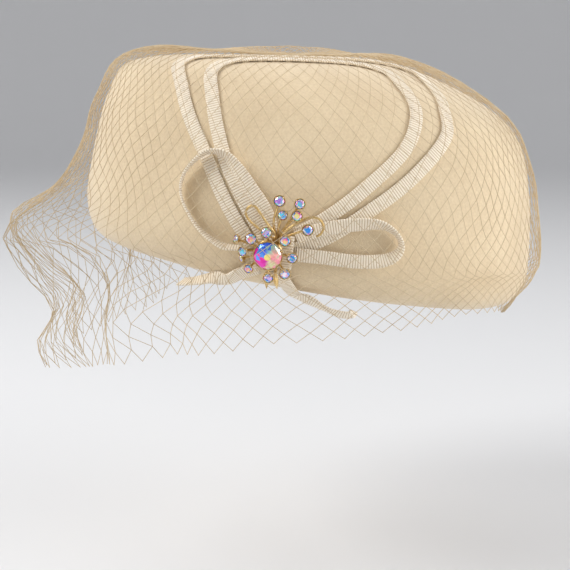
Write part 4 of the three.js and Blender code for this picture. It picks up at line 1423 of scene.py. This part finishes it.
@dataclass
class Brooch:
    """The stone-set brooch on the knot. Cups are given in shares of their own radius and height."""

    shape: CrownShape
    trees: ThreadTrees
    reach: float = 26.3 * MM
    seat: float = 5.75 * MM
    plate: float = 1.2 * MM
    plate_bevel: float = 0.25
    centre: tuple[float, float] = (-0.038, 0.008)
    centre_width: float = 12.8 * MM
    stone_width: float = 4.6 * MM
    hub: tuple[float, float] = (0.114, 0.25)
    hub_rise: float = 0.25 * MM
    hub_radius: float = 2.2 * MM
    arm_rise: float = -0.6
    arm_root: float = 0.4
    cup_floor: float = 0.6 * MM
    cup_foot: float = 0.55
    cup_wall: float = 0.4 * MM
    cup_slack: float = 0.1 * MM
    cup_flare: tuple = ((0.62, 0.15), (0.97, 0.9), (1.0, 0.96))
    cup_hollow: float = 0.6
    lip_round: float = 0.1 * MM
    lip_foot: float = 0.93
    clearance: float = 0.25 * MM
    stone_depth: float = 0.24
    wire_width: float = 1.1 * MM
    wire_sides: int = 10
    wire_steps: int = 10
    wire_sink: float = 0.25
    cup_sides: int = 28
    leaf_length: float = 4.8 * MM
    leaf_width: float = 2.4 * MM
    leaf_ridge: float = 1.4 * MM
    leaf_edge: float = 0.25
    leaf_fullness: float = 1.6
    leaf_rows: int = 11
    leaves: tuple[LeafSeat, ...] = (LeafSeat(-0.08, -0.47, 0.02), LeafSeat(0.085, -0.47, 0.12))
    claws: int = 4
    centre_claws: int = 8
    claw_gap: float = 0.3 * MM
    claw_lift: float = 0.15 * MM
    claw_radius: float = 0.26 * MM
    claw_sides: int = 6
    sharp_angle: float = 35

    def _cup_height(self, width: float) -> float:
        """Returns the height of a cup's rim above its foot."""
        return self.cup_floor + self.clearance + self.stone_depth * width

    def _cup_place(self, seat: StoneSeat) -> Matrix:
        """Places a stone's cup, tilted away from the brooch's middle.

        Args:
            seat: The stone.

        Returns:
            The foot of its cup, in the brooch's plane.
        """
        away = Vector((seat.across - self.centre[0], seat.up - self.centre[1])).normalized()
        place = Matrix.Rotation(math.radians(seat.tilt), 4, Vector((-away.y, away.x, 0)))
        rise = self.plate + seat.rise * self.stone_width
        place.translation = Vector((seat.across * self.reach, seat.up * self.reach, rise))
        return place

    def _wire_place(self, point: WirePoint) -> Vector:
        """Returns a wire's point in the brooch's plane."""
        return Vector((point.across * self.reach, point.up * self.reach, self.plate + point.rise * MM))

    def _cup(self, width: float, place: Matrix) -> tuple[np.ndarray, list]:
        """Turns one cup on its place.

        Args:
            width: The stone's width.
            place: The foot of the cup.

        Returns:
            The cup's points and faces.
        """
        inside = width / 2 + self.cup_slack
        outside = inside + self.cup_wall
        rim = self._cup_height(width)
        profile = [(outside * self.cup_foot, 0)]
        profile += [(outside * out, rim * up) for out, up in self.cup_flare]
        profile += [
            (outside - self.lip_round, rim + self.lip_round),
            (inside + self.lip_round / 2, rim + self.lip_round),
            (inside, rim * self.lip_foot),
            (inside * self.cup_hollow, self.cup_floor),
        ]
        middles = [[0, 0, 0], [0, 0, self.cup_floor]]
        points = np.concatenate([turned(profile, self.cup_sides), middles])
        faces = grid_faces(len(profile), self.cup_sides, True)
        last = (len(profile) - 1) * self.cup_sides
        for j in range(self.cup_sides):
            after = (j + 1) % self.cup_sides
            faces.append((after, j, len(points) - 2))
            faces.append((last + j, last + after, len(points) - 1))
        placed = points @ np.array(place.to_3x3()).T + np.array(place.translation)
        return placed, faces

    def _join(self, name: str, parts: list[tuple[np.ndarray, list]]) -> bpy.types.Object:
        """Joins parts into one piece and puts it in its place on the hat.

        Args:
            name: The piece's name.
            parts: The points and faces of each, in the brooch's plane.

        Returns:
            The piece.
        """
        points, faces = [], []
        for part_points, part_faces in parts:
            start = sum(len(p) for p in points)
            points.append(part_points)
            faces += [tuple(start + k for k in face) for face in part_faces]
        plane = self.shape.knot_plane(self.seat)
        placed = np.concatenate(points) @ np.array(plane.to_3x3()).T + np.array(plane.translation)
        piece = new_object(name, placed, faces)
        piece.data.shade_smooth()
        piece.data.set_sharp_from_angle(angle=math.radians(self.sharp_angle))
        return piece

    def _centre_place(self) -> Matrix:
        """Returns the foot of the centre stone's cup."""
        across, up = self.centre
        return Matrix.Translation((across * self.reach, up * self.reach, self.plate - self.cup_floor / 2))

    def _disc(self, middle: tuple[float, float], radius: float, lift: float = 0) -> tuple[np.ndarray, list]:
        """Makes a round plate with a bevelled edge.

        Args:
            middle: Its middle in brooch reaches.
            radius: Its radius.
            lift: How far it is raised.

        Returns:
            Its points and faces.
        """
        bevel = self.plate * self.plate_bevel
        profile = [
            (radius - bevel, 0),
            (radius, bevel),
            (radius, self.plate - bevel),
            (radius - bevel, self.plate),
        ]
        place = np.array([middle[0] * self.reach, middle[1] * self.reach, lift])
        faces = grid_faces(len(profile), self.cup_sides, True)
        last = (len(profile) - 1) * self.cup_sides
        faces.append(tuple(range(self.cup_sides))[::-1])
        faces.append(tuple(range(last, last + self.cup_sides)))
        return turned(profile, self.cup_sides) + place, faces

    def _leaf(self, seat: LeafSeat) -> tuple[np.ndarray, list]:
        """Makes a pointed leaf with a ridge along its middle.

        Args:
            seat: Where the leaf lies.

        Returns:
            Its points and faces.
        """
        shares = np.linspace(-1, 1, self.leaf_rows + 2)[1:-1]
        half = self.leaf_width / 2 * (1 - np.abs(shares) ** self.leaf_fullness)
        ridge = self.leaf_ridge * np.sqrt(1 - shares**2)
        edge = self.leaf_ridge * self.leaf_edge
        section = np.array(LEAF_SECTION)
        x = half[:, None] * section[:, 0]
        y = (shares * self.leaf_length)[:, None] + np.zeros(len(section))
        z = edge + ridge[:, None] * section[:, 1]
        rows = np.stack([x, y, z], axis=-1).reshape(-1, 3)
        tips = np.array([[0, -self.leaf_length, edge], [0, self.leaf_length, edge]])
        points = np.concatenate([rows, tips])
        faces = [face[::-1] for face in grid_faces(len(shares), len(section), True)]
        last = (len(shares) - 1) * len(section)
        for j in range(len(section)):
            after = (j + 1) % len(section)
            faces.append((j, after, len(rows)))
            faces.append((last + after, last + j, len(rows) + 1))
        spin = np.array(Matrix.Rotation(seat.turn, 3, "Z"))
        return points @ spin.T + np.array([seat.across * self.reach, seat.up * self.reach, 0]), faces

    def _wires(self) -> list[list[Vector]]:
        """Routes the stems, the arms, the leaves' stalks and the curls.

        Returns:
            The points of each wire, in the brooch's plane.
        """
        wires = []
        arm_root = self.arm_root * self.centre_width
        plate_middle = self._wire_place(WirePoint(*self.centre, self.arm_rise))
        for name, seat in STONES.items():
            foot = self._cup_place(seat) @ Vector((0, 0, self.cup_floor * self.wire_sink))
            if name in STEM_BENDS:
                root = self._wire_place(WirePoint(*self.hub, self.arm_rise))
                wires.append([root, self._wire_place(STEM_BENDS[name]), foot])
                continue
            away = (foot - plate_middle).to_2d().normalized().to_3d()
            root = plate_middle + away * arm_root
            bend = root.lerp(foot, 0.5)
            bend.z = root.z
            wires.append([root, bend, foot])
        for leaf in self.leaves:
            root = self._wire_place(WirePoint(leaf.across, self.centre[1], self.arm_rise))
            root.y -= arm_root
            wires.append([root, self._wire_place(WirePoint(leaf.across, leaf.up, self.arm_rise))])
        wires += [[self._wire_place(point) for point in curl] for curl in CURLS.values()]
        return wires

    def _wire_object(self) -> bpy.types.Object:
        """Makes the wires' paths as loose edges in their place on the hat.

        Returns:
            The object.
        """
        plane = self.shape.knot_plane(self.seat)
        points, edges = [], []
        for wire in self._wires():
            count = self.wire_steps * (len(wire) - 1)
            path = spline(np.array([plane @ p for p in wire]), np.linspace(0, 1, count + 1))
            edges += [(len(points) + k, len(points) + k + 1) for k in range(count)]
            points += list(path)
        return new_object("wire_paths", np.array(points), [], edges)

    def _claw_object(self) -> bpy.types.Object:
        """Makes a point for each claw, with its turn as an attribute.

        Returns:
            The object.
        """
        plane = self.shape.knot_plane(self.seat)
        places, turns = [], []
        seats = [
            (self._cup_place(seat), seat.width * self.stone_width, self.claws) for seat in STONES.values()
        ]
        seats.append((self._centre_place(), self.centre_width, self.centre_claws))
        for cup, width, count in seats:
            for k in range(count):
                spin = Matrix.Rotation(2 * math.pi * (k + 0.5) / count, 4, "Z")
                rise = self._cup_height(width) + self.claw_lift
                shift = Matrix.Translation((width / 2 + self.claw_gap, 0, rise))
                whole = plane @ cup @ spin @ shift
                places.append(whole.translation)
                turns.append(whole.to_euler())
        source = new_object("claw_points", np.array(places), [])
        turn = source.data.attributes.new("turn", "FLOAT_VECTOR", "POINT")
        turn.data.foreach_set("vector", np.array(turns, dtype=np.float32).ravel())
        return source

    def build(self, metal: bpy.types.Material, crystal: IridescentCrystal) -> None:
        """Builds the metal and dresses the stones.

        Args:
            metal: The gilt metal.
            crystal: The stones' finish.
        """
        parts = [self._disc(self.centre, self.centre_width / 2)]
        parts.append(self._disc(self.hub, self.hub_radius, self.hub_rise))
        parts.append(self._cup(self.centre_width, self._centre_place()))
        parts += [self._cup(seat.width * self.stone_width, self._cup_place(seat)) for seat in STONES.values()]
        parts += [self._leaf(leaf) for leaf in self.leaves]
        cups = self._join("brooch_cups", parts)
        finish_piece(cups, metal, "antique_gold", "brooch_frame")
        wire_sizes = {"Radius": self.wire_width / 2, "Sides": self.wire_sides, "Material": metal}
        wires = grown("brooch_wires", self._wire_object(), self.trees.thread, **wire_sizes)
        finish_piece(wires, metal, "antique_gold", "brooch_frame")
        claw_sizes = {"Radius": self.claw_radius, "Sides": self.claw_sides, "Material": metal}
        claws = grown("brooch_claws", self._claw_object(), self.trees.claw, **claw_sizes)
        finish_piece(claws, metal, "antique_gold", "brooch_frame")
        small = crystal.material("iridescent_crystal")
        plane = self.shape.knot_plane(self.seat) @ self._centre_place()
        centre = crystal.material("iridescent_centre", plane)
        for name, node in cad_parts.items():
            if name.startswith("brooch_stone"):
                node.data.materials.clear()
                node.data.materials.append(centre if name.endswith("centre") else small)


# The veil


class Way(Enum):
    """The two ways in which the net's strands cross."""

    LEFT = -1
    RIGHT = 1


@dataclass(frozen=True)
class VeilRing:
    """A ring of the veil from the top down, at the front, its quarter, the side, the back quarter and the
    back. Level is the level up the crown that it follows, out a share of the veil's reach past it and
    down a share of its drop below it."""

    level: float
    out: tuple[float, float, float, float, float]
    down: tuple[float, float, float, float, float]


VEIL_RINGS = (
    VeilRing(0.985, (0, 0, 0, 0, 0), (0, 0, 0, 0, 0)),
    VeilRing(0.8, (0, 0, 0, 0, 0), (0, 0, 0, 0, 0)),
    VeilRing(0.64, (0.06, 0.03, 0, 0, 0), (0, 0, 0, 0, 0)),
    VeilRing(0.5, (0.1, 0.06, 0, 0, 0), (0, 0, 0, 0, 0)),
    VeilRing(0.4, (0.36, 0.18, 0, 0, 0.06), (0.08, 0.03, 0, 0, 0)),
    VeilRing(0.333, (0.92, 0.5, 0, 0, 0.1), (0.2, 0.1, 0.04, 0, 0)),
    VeilRing(0.333, (0.66, 0.35, 0, 0, 0.02), (0.46, 0.28, 0.13, 0.05, 0.07)),
    VeilRing(0.333, (0.27, 0.17, -0.02, -0.02, -0.08), (0.65, 0.46, 0.23, 0.1, 0.15)),
    VeilRing(0.333, (0.38, 0.18, -0.04, -0.05, -0.22), (0.85, 0.62, 0.33, 0.16, 0.23)),
    VeilRing(0.333, (0.24, 0.15, -0.05, -0.08, -0.36), (1, 0.76, 0.42, 0.22, 0.31)),
)


@dataclass(frozen=True)
class BowOval:
    """Where the veil stands off more, over the bow. Places and sizes are shares of the bow's reach."""

    reach: float = 107 * MM
    forward: float = 0.093
    up: float = 0.047
    half_width: float = 0.71
    half_height: float = 0.58
    full: float = 0.75
    none: float = 1.3
    lift: float = 11 * MM


@dataclass(frozen=True)
class Flutes:
    """A set of soft folds that run down the veil: how many, how far they drift on the way down and where
    they start, both in radians, and their share of the depth."""

    count: int
    drift: float
    start: float
    share: float


@dataclass(frozen=True)
class Pocket:
    """A hollow that the veil falls into below a crease, on both sides. Around is where it starts, is full,
    is last full and ends in degrees from the front, and down is the same in shares of the profile."""

    around: tuple[float, float, float, float]
    down: tuple[float, float, float, float]
    depth: float


@dataclass(frozen=True)
class Swirl:
    """Where the net is pulled round on itself, on both sides: its middle in degrees from the front and in
    shares of the profile, its radius in metres and its turn in degrees."""

    around: float
    down: float
    radius: float
    turn: float


@dataclass
class Veil:
    """The net over the crown, gathered on top, that stands out in front and hangs past the edge."""

    shape: CrownShape
    trees: ThreadTrees
    reach: float = 46 * MM
    drop: float = 92.5 * MM
    seat: float = 1.6 * MM
    lift: float = 2.6 * MM
    bow_oval: BowOval = BowOval()
    columns: int = 108
    mesh_side: float = 6.2 * MM
    narrowest: float = 0.5
    thread: float = 0.33 * MM
    thread_sides: int = 3
    knot_size: float = 0.8
    flute_depth: float = 6 * MM
    flute_front: tuple[float, float] = (-0.1, 0.75)
    flute_down: tuple[float, float] = (0.42, 0.66)
    flute_behind: float = 0.2
    flutes: tuple[Flutes, ...] = (Flutes(11, 4, 0, 1), Flutes(17, -7, 1.3, 0.55), Flutes(5, 9, 0.4, 0.5))
    pockets: tuple[Pocket, ...] = (Pocket((14, 27, 60, 82), (0.565, 0.6, 0.68, 0.82), 12 * MM),)
    swirls: tuple[Swirl, ...] = (
        Swirl(54, 0.7, 62 * MM, 32),
        Swirl(38, 0.38, 44 * MM, -26),
        Swirl(128, 0.4, 50 * MM, 24),
        Swirl(150, 0.14, 36 * MM, -30),
    )
    profile_length: float = 230 * MM
    degree_length: float = 2 * MM
    billow: float = 3.5 * MM
    billow_from: float = -65
    billows: int = 3
    billow_rise: tuple[float, float] = (0.03, 0.1)
    billow_fall: tuple[float, float] = (0.13, 0.26)
    drag: float = 7
    drag_full: float = 0.6
    slack: float = 0.5 * MM
    slack_size: float = 9 * MM
    slack_seed: int = 7
    measured_rows: int = 300
    measured_turn: float = 5.0

    def surface(self, azimuth: np.ndarray, share: np.ndarray) -> np.ndarray:
        """Returns the points of the smooth sheet that the net lies in.

        Args:
            azimuth: Degrees round, 0 on the near side and 90 at the back.
            share: From 0 at the gathered top to 1 at the hem.

        Returns:
            The points.
        """
        turn = ((azimuth + 90) / 360) % 1
        rows = []
        for number, ring in enumerate(VEIL_RINGS):
            around = [0, 1, 2, 3, 4, 3, 2, 1]
            table = np.array([(ring.out[i], ring.down[i], 0) for i in around])
            shift = spline(table, turn, closed=True)
            level = np.full(len(azimuth), ring.level)
            normal = self.shape.normals(azimuth, level)
            place = self.shape.points(azimuth, level)
            place = place + normal * (self.seat if number == 0 else self.lift)
            flat = unit(normal * np.array([1, 1, 0]))
            place = place + flat * (shift[:, :1] * self.reach)
            place[:, 2] -= shift[:, 1] * self.drop
            rows.append(place)
        place = spline(np.stack(rows), share)
        place = place + self._folds(azimuth, share, flat)
        place = place - flat * self._hollows(azimuth, share)[:, None]
        place[:, 2] += self._top_billows(azimuth, share)
        place[:, 0] += np.where(place[:, 0] > 0, self._over_bow(place), 0)
        return place

    def _from_front(self, azimuth: np.ndarray) -> np.ndarray:
        """Returns degrees from the front, below 0 on the near side and above it on the far side."""
        return (90 - azimuth) % 360 - 180

    def _hollows(self, azimuth: np.ndarray, share: np.ndarray) -> np.ndarray:
        """Works out how far the pockets take the veil in.

        Args:
            azimuth: Degrees round, 0 on the near side and 90 at the back.
            share: From 0 at the gathered top to 1 at the hem.

        Returns:
            The distance in at each point.
        """
        away = np.abs(self._from_front(azimuth))
        total = np.zeros(len(azimuth))
        for pocket in self.pockets:
            first, full, last, end = pocket.around
            round_part = smoothstep(away, first, full) * (1 - smoothstep(away, last, end))
            first, full, last, end = pocket.down
            down_part = smoothstep(share, first, full) * (1 - smoothstep(share, last, end))
            total += pocket.depth * round_part * down_part
        return total

    def _top_billows(self, azimuth: np.ndarray, share: np.ndarray) -> np.ndarray:
        """Works out the soft billows round the gathered top.

        Args:
            azimuth: Degrees round, 0 on the near side and 90 at the back.
            share: From 0 at the gathered top to 1 at the hem.

        Returns:
            The height up at each point.
        """
        wave = 0.5 + 0.5 * np.cos(self.billows * np.radians(azimuth - self.billow_from))
        risen = smoothstep(share, *self.billow_rise)
        return self.billow * wave * risen * (1 - smoothstep(share, *self.billow_fall))

    def _swirled(self, azimuth: np.ndarray, share: np.ndarray) -> tuple[np.ndarray, np.ndarray]:
        """Pulls the net's points round in the swirls.

        Args:
            azimuth: Degrees round, 0 on the near side and 90 at the back.
            share: From 0 at the gathered top to 1 at the hem.

        Returns:
            The new azimuths and shares.
        """
        for swirl in self.swirls:
            away = self._from_front(azimuth)
            side = np.where(away < 0, -1, 1)
            x = (np.abs(away) - swirl.around) * self.degree_length
            y = (share - swirl.down) * self.profile_length
            turn = np.radians(swirl.turn) * (1 - smoothstep(np.hypot(x, y), 0, swirl.radius))
            step_x = x * np.cos(turn) - y * np.sin(turn) - x
            step_y = x * np.sin(turn) + y * np.cos(turn) - y
            azimuth = azimuth - side * step_x / self.degree_length
            share = np.clip(share + step_y / self.profile_length, 0, 1)
        return azimuth, share

    def _over_bow(self, place: np.ndarray) -> np.ndarray:
        """Works out how far the veil stands off more over the bow.

        Args:
            place: The sheet's points.

        Returns:
            The distance out at each point.
        """
        oval = self.bow_oval
        knot = self.shape.knot_plane(0).translation
        away = np.hypot(
            ((place[:, 1] - knot.y) / oval.reach - oval.forward) / oval.half_width,
            ((place[:, 2] - knot.z) / oval.reach - oval.up) / oval.half_height,
        )
        return oval.lift * (1 - smoothstep(away, oval.full, oval.none))

    def _folds(self, azimuth: np.ndarray, share: np.ndarray, flat: np.ndarray) -> np.ndarray:
        """Works out the soft folds, deepest in front and low down.

        Args:
            azimuth: Degrees round, 0 on the near side and 90 at the back.
            share: From 0 at the gathered top to 1 at the hem.
            flat: The level way out at each point.

        Returns:
            The shift of each point.
        """
        angle = np.radians(azimuth)
        front = smoothstep(-np.sin(angle), *self.flute_front)
        low = smoothstep(share, *self.flute_down)
        wave = sum(
            fold.share * np.sin(fold.count * angle + fold.drift * share + fold.start) for fold in self.flutes
        )
        depth = self.flute_depth * low * (self.flute_behind + (1 - self.flute_behind) * front)
        return flat * (depth * wave)[:, None]

    def _row_shares(self) -> np.ndarray:
        """Spaces the rows of knots so that every mesh keeps the length of its four sides.

        Returns:
            The share of the sheet's profile at each row.
        """
        fine = np.linspace(0, 1, self.measured_rows)
        around = np.arange(0, 360, self.measured_turn)
        grid = self.surface(np.tile(around, len(fine)), np.repeat(fine, len(around)))
        grid = grid.reshape(len(fine), len(around), 3)
        width = np.linalg.norm(np.roll(grid, -1, axis=1) - grid, axis=-1).sum(axis=1) / self.columns
        shortest = (self.narrowest * self.mesh_side) ** 2
        half_height = np.sqrt(np.maximum(self.mesh_side**2 - (width / 2) ** 2, shortest))
        steps = np.linalg.norm(np.diff(grid, axis=0), axis=-1).mean(axis=1)
        rows = np.concatenate([[0], np.cumsum(steps / half_height[1:])])
        return np.interp(np.arange(int(rows[-1]) + 1) * rows[-1] / int(rows[-1]), rows, fine)

    def _strands(self) -> bpy.types.Object:
        """Makes every strand's path as loose edges, with the knots marked on the strands of one way.

        Returns:
            The object.
        """
        shares = self._row_shares()
        rows = np.arange(len(shares))
        azimuths, edges, knots = [], [], []
        for way in Way:
            for k in range(self.columns):
                start = len(azimuths) * len(rows)
                azimuths.append(360 / self.columns * (k + way.value * rows / 2))
                knots.append(np.full(len(rows), way is Way.RIGHT))
                edges += [(start + i, start + i + 1) for i in range(len(rows) - 1)]
        azimuth = np.concatenate(azimuths)
        share = np.tile(shares, len(azimuths))
        drag = self.drag * smoothstep(share, 0, self.drag_full)
        azimuth = azimuth + drag * np.sin(2 * np.radians(azimuth))
        places = self.surface(*self._swirled(azimuth, share))
        noise.seed_set(self.slack_seed)
        loose = [noise.noise_vector(Vector(place) / self.slack_size) for place in places]
        source = new_object("strand_paths", places + np.array(loose) * self.slack, [], edges)
        mark = source.data.attributes.new("knot", "BOOLEAN", "POINT")
        mark.data.foreach_set("value", np.concatenate(knots))
        return source

    def build(self, material: bpy.types.Material) -> None:
        """Knots the net and hides the coarse one.

        Args:
            material: The thread's material.
        """
        sizes = {"Radius": self.thread / 2, "Sides": self.thread_sides}
        sizes |= {"Knot_radius": self.thread * self.knot_size, "Material": material}
        net = grown("veil_net", self._strands(), self.trees.thread, **sizes)
        finish_piece(net, material, "veil_net", "veil_cap", "veil_fall")


# The studio


@dataclass(frozen=True)
class Lamp:
    """A soft square light that faces the hat."""

    place: tuple[float, float, float]
    size: float
    power: float


@dataclass
class Studio:
    """A plain pale floor that sweeps up all round, soft light and the camera."""

    target: tuple = (0, -5.3 * MM, -10.6 * MM)
    distance: float = 770 * MM
    elevation: float = 10
    lens: float = 91.4
    sensor: float = 36
    sight: float = 50
    floor_height: float = -150 * MM
    floor_radius: float = 2.2
    sweep: float = 1.4
    wall_height: float = 3.2
    sweep_step: float = 6
    sides: int = 96
    pale: tuple = (0.74, 0.74, 0.745, 1)
    lamps: tuple[Lamp, ...] = (
        Lamp(place=(0.4, -1.2, 1.05), size=0.8, power=18),
        Lamp(place=(0.4, 1.35, 0.45), size=1.0, power=16),
        Lamp(place=(-0.8, -0.4, 1.1), size=0.9, power=5),
    )
    sky: float = 0.5
    sky_colour: tuple = (0.96, 0.97, 1.0, 1)
    floor_roughness: float = 0.9

    def camera(self) -> None:
        """Places the camera at the photograph's angle."""
        data = bpy.data.cameras.new("camera")
        data.lens = self.lens
        data.sensor_width = self.sensor
        data.clip_end = self.sight
        camera = bpy.data.objects.new("camera", data)
        angle = math.radians(self.elevation)
        back = Vector((math.cos(angle), 0, math.sin(angle)))
        camera.location = Vector(self.target) + back * self.distance
        camera.rotation_euler = (-back).to_track_quat("-Z", "Y").to_euler()
        bpy.context.scene.collection.objects.link(camera)
        bpy.context.scene.camera = camera

    def floor(self) -> None:
        """Lays the pale floor and sweeps its edge up into a wall."""
        bends = np.radians(np.arange(0, 90 + self.sweep_step, self.sweep_step))
        radii = self.floor_radius + self.sweep * np.sin(bends)
        heights = self.floor_height + self.sweep * (1 - np.cos(bends))
        radii = np.concatenate([radii, radii[-1:]])
        heights = np.concatenate([heights, [self.floor_height + self.wall_height]])
        points = turned(list(zip(radii, heights)), self.sides)
        faces = [face[::-1] for face in grid_faces(len(radii), self.sides, True)]
        faces.append(tuple(range(self.sides)))
        piece = new_object("floor", points, faces)
        piece.data.shade_smooth()
        material, _, shader = new_material("pale_floor")
        shader.inputs["Base Color"].default_value = self.pale
        shader.inputs["Roughness"].default_value = self.floor_roughness
        piece.data.materials.append(material)

    def lights(self) -> None:
        """Hangs the soft lights under a pale sky."""
        for number, lamp in enumerate(self.lamps, 1):
            data = bpy.data.lights.new(f"lamp_{number}", "AREA")
            data.size = lamp.size
            data.energy = lamp.power
            light = bpy.data.objects.new(f"lamp_{number}", data)
            light.location = lamp.place
            light.rotation_euler = (-Vector(lamp.place)).to_track_quat("-Z", "Y").to_euler()
            bpy.context.scene.collection.objects.link(light)
        world = bpy.data.worlds.new("pale_world")
        world.use_nodes = True
        background = world.node_tree.nodes["Background"]
        background.inputs["Color"].default_value = self.sky_colour
        background.inputs["Strength"].default_value = self.sky
        bpy.context.scene.world = world

    def build(self) -> None:
        """Builds the camera, the floor and the lights."""
        self.camera()
        self.floor()
        self.lights()
        bpy.context.scene.view_settings.view_transform = "Standard"


def main() -> None:
    """Builds the studio and the hat, piece by piece."""
    logging.basicConfig(level=logging.INFO, format="%(message)s")
    Studio().build()
    effects = Effects()
    trees = ThreadTrees()
    shape = CrownShape()
    ribbon = Ribbon()
    grosgrain = Grosgrain(pitch=ribbon.pitch).material(effects)
    Crown(shape).build(Felt().material(effects))
    Bands(shape, ribbon).build(grosgrain)
    Bow(shape, ribbon).build(grosgrain)
    Brooch(shape, trees).build(AntiqueGold().material(effects), IridescentCrystal())
    Veil(shape, trees).build(NetThread().material(effects))


if __name__ == "__main__":
    main()
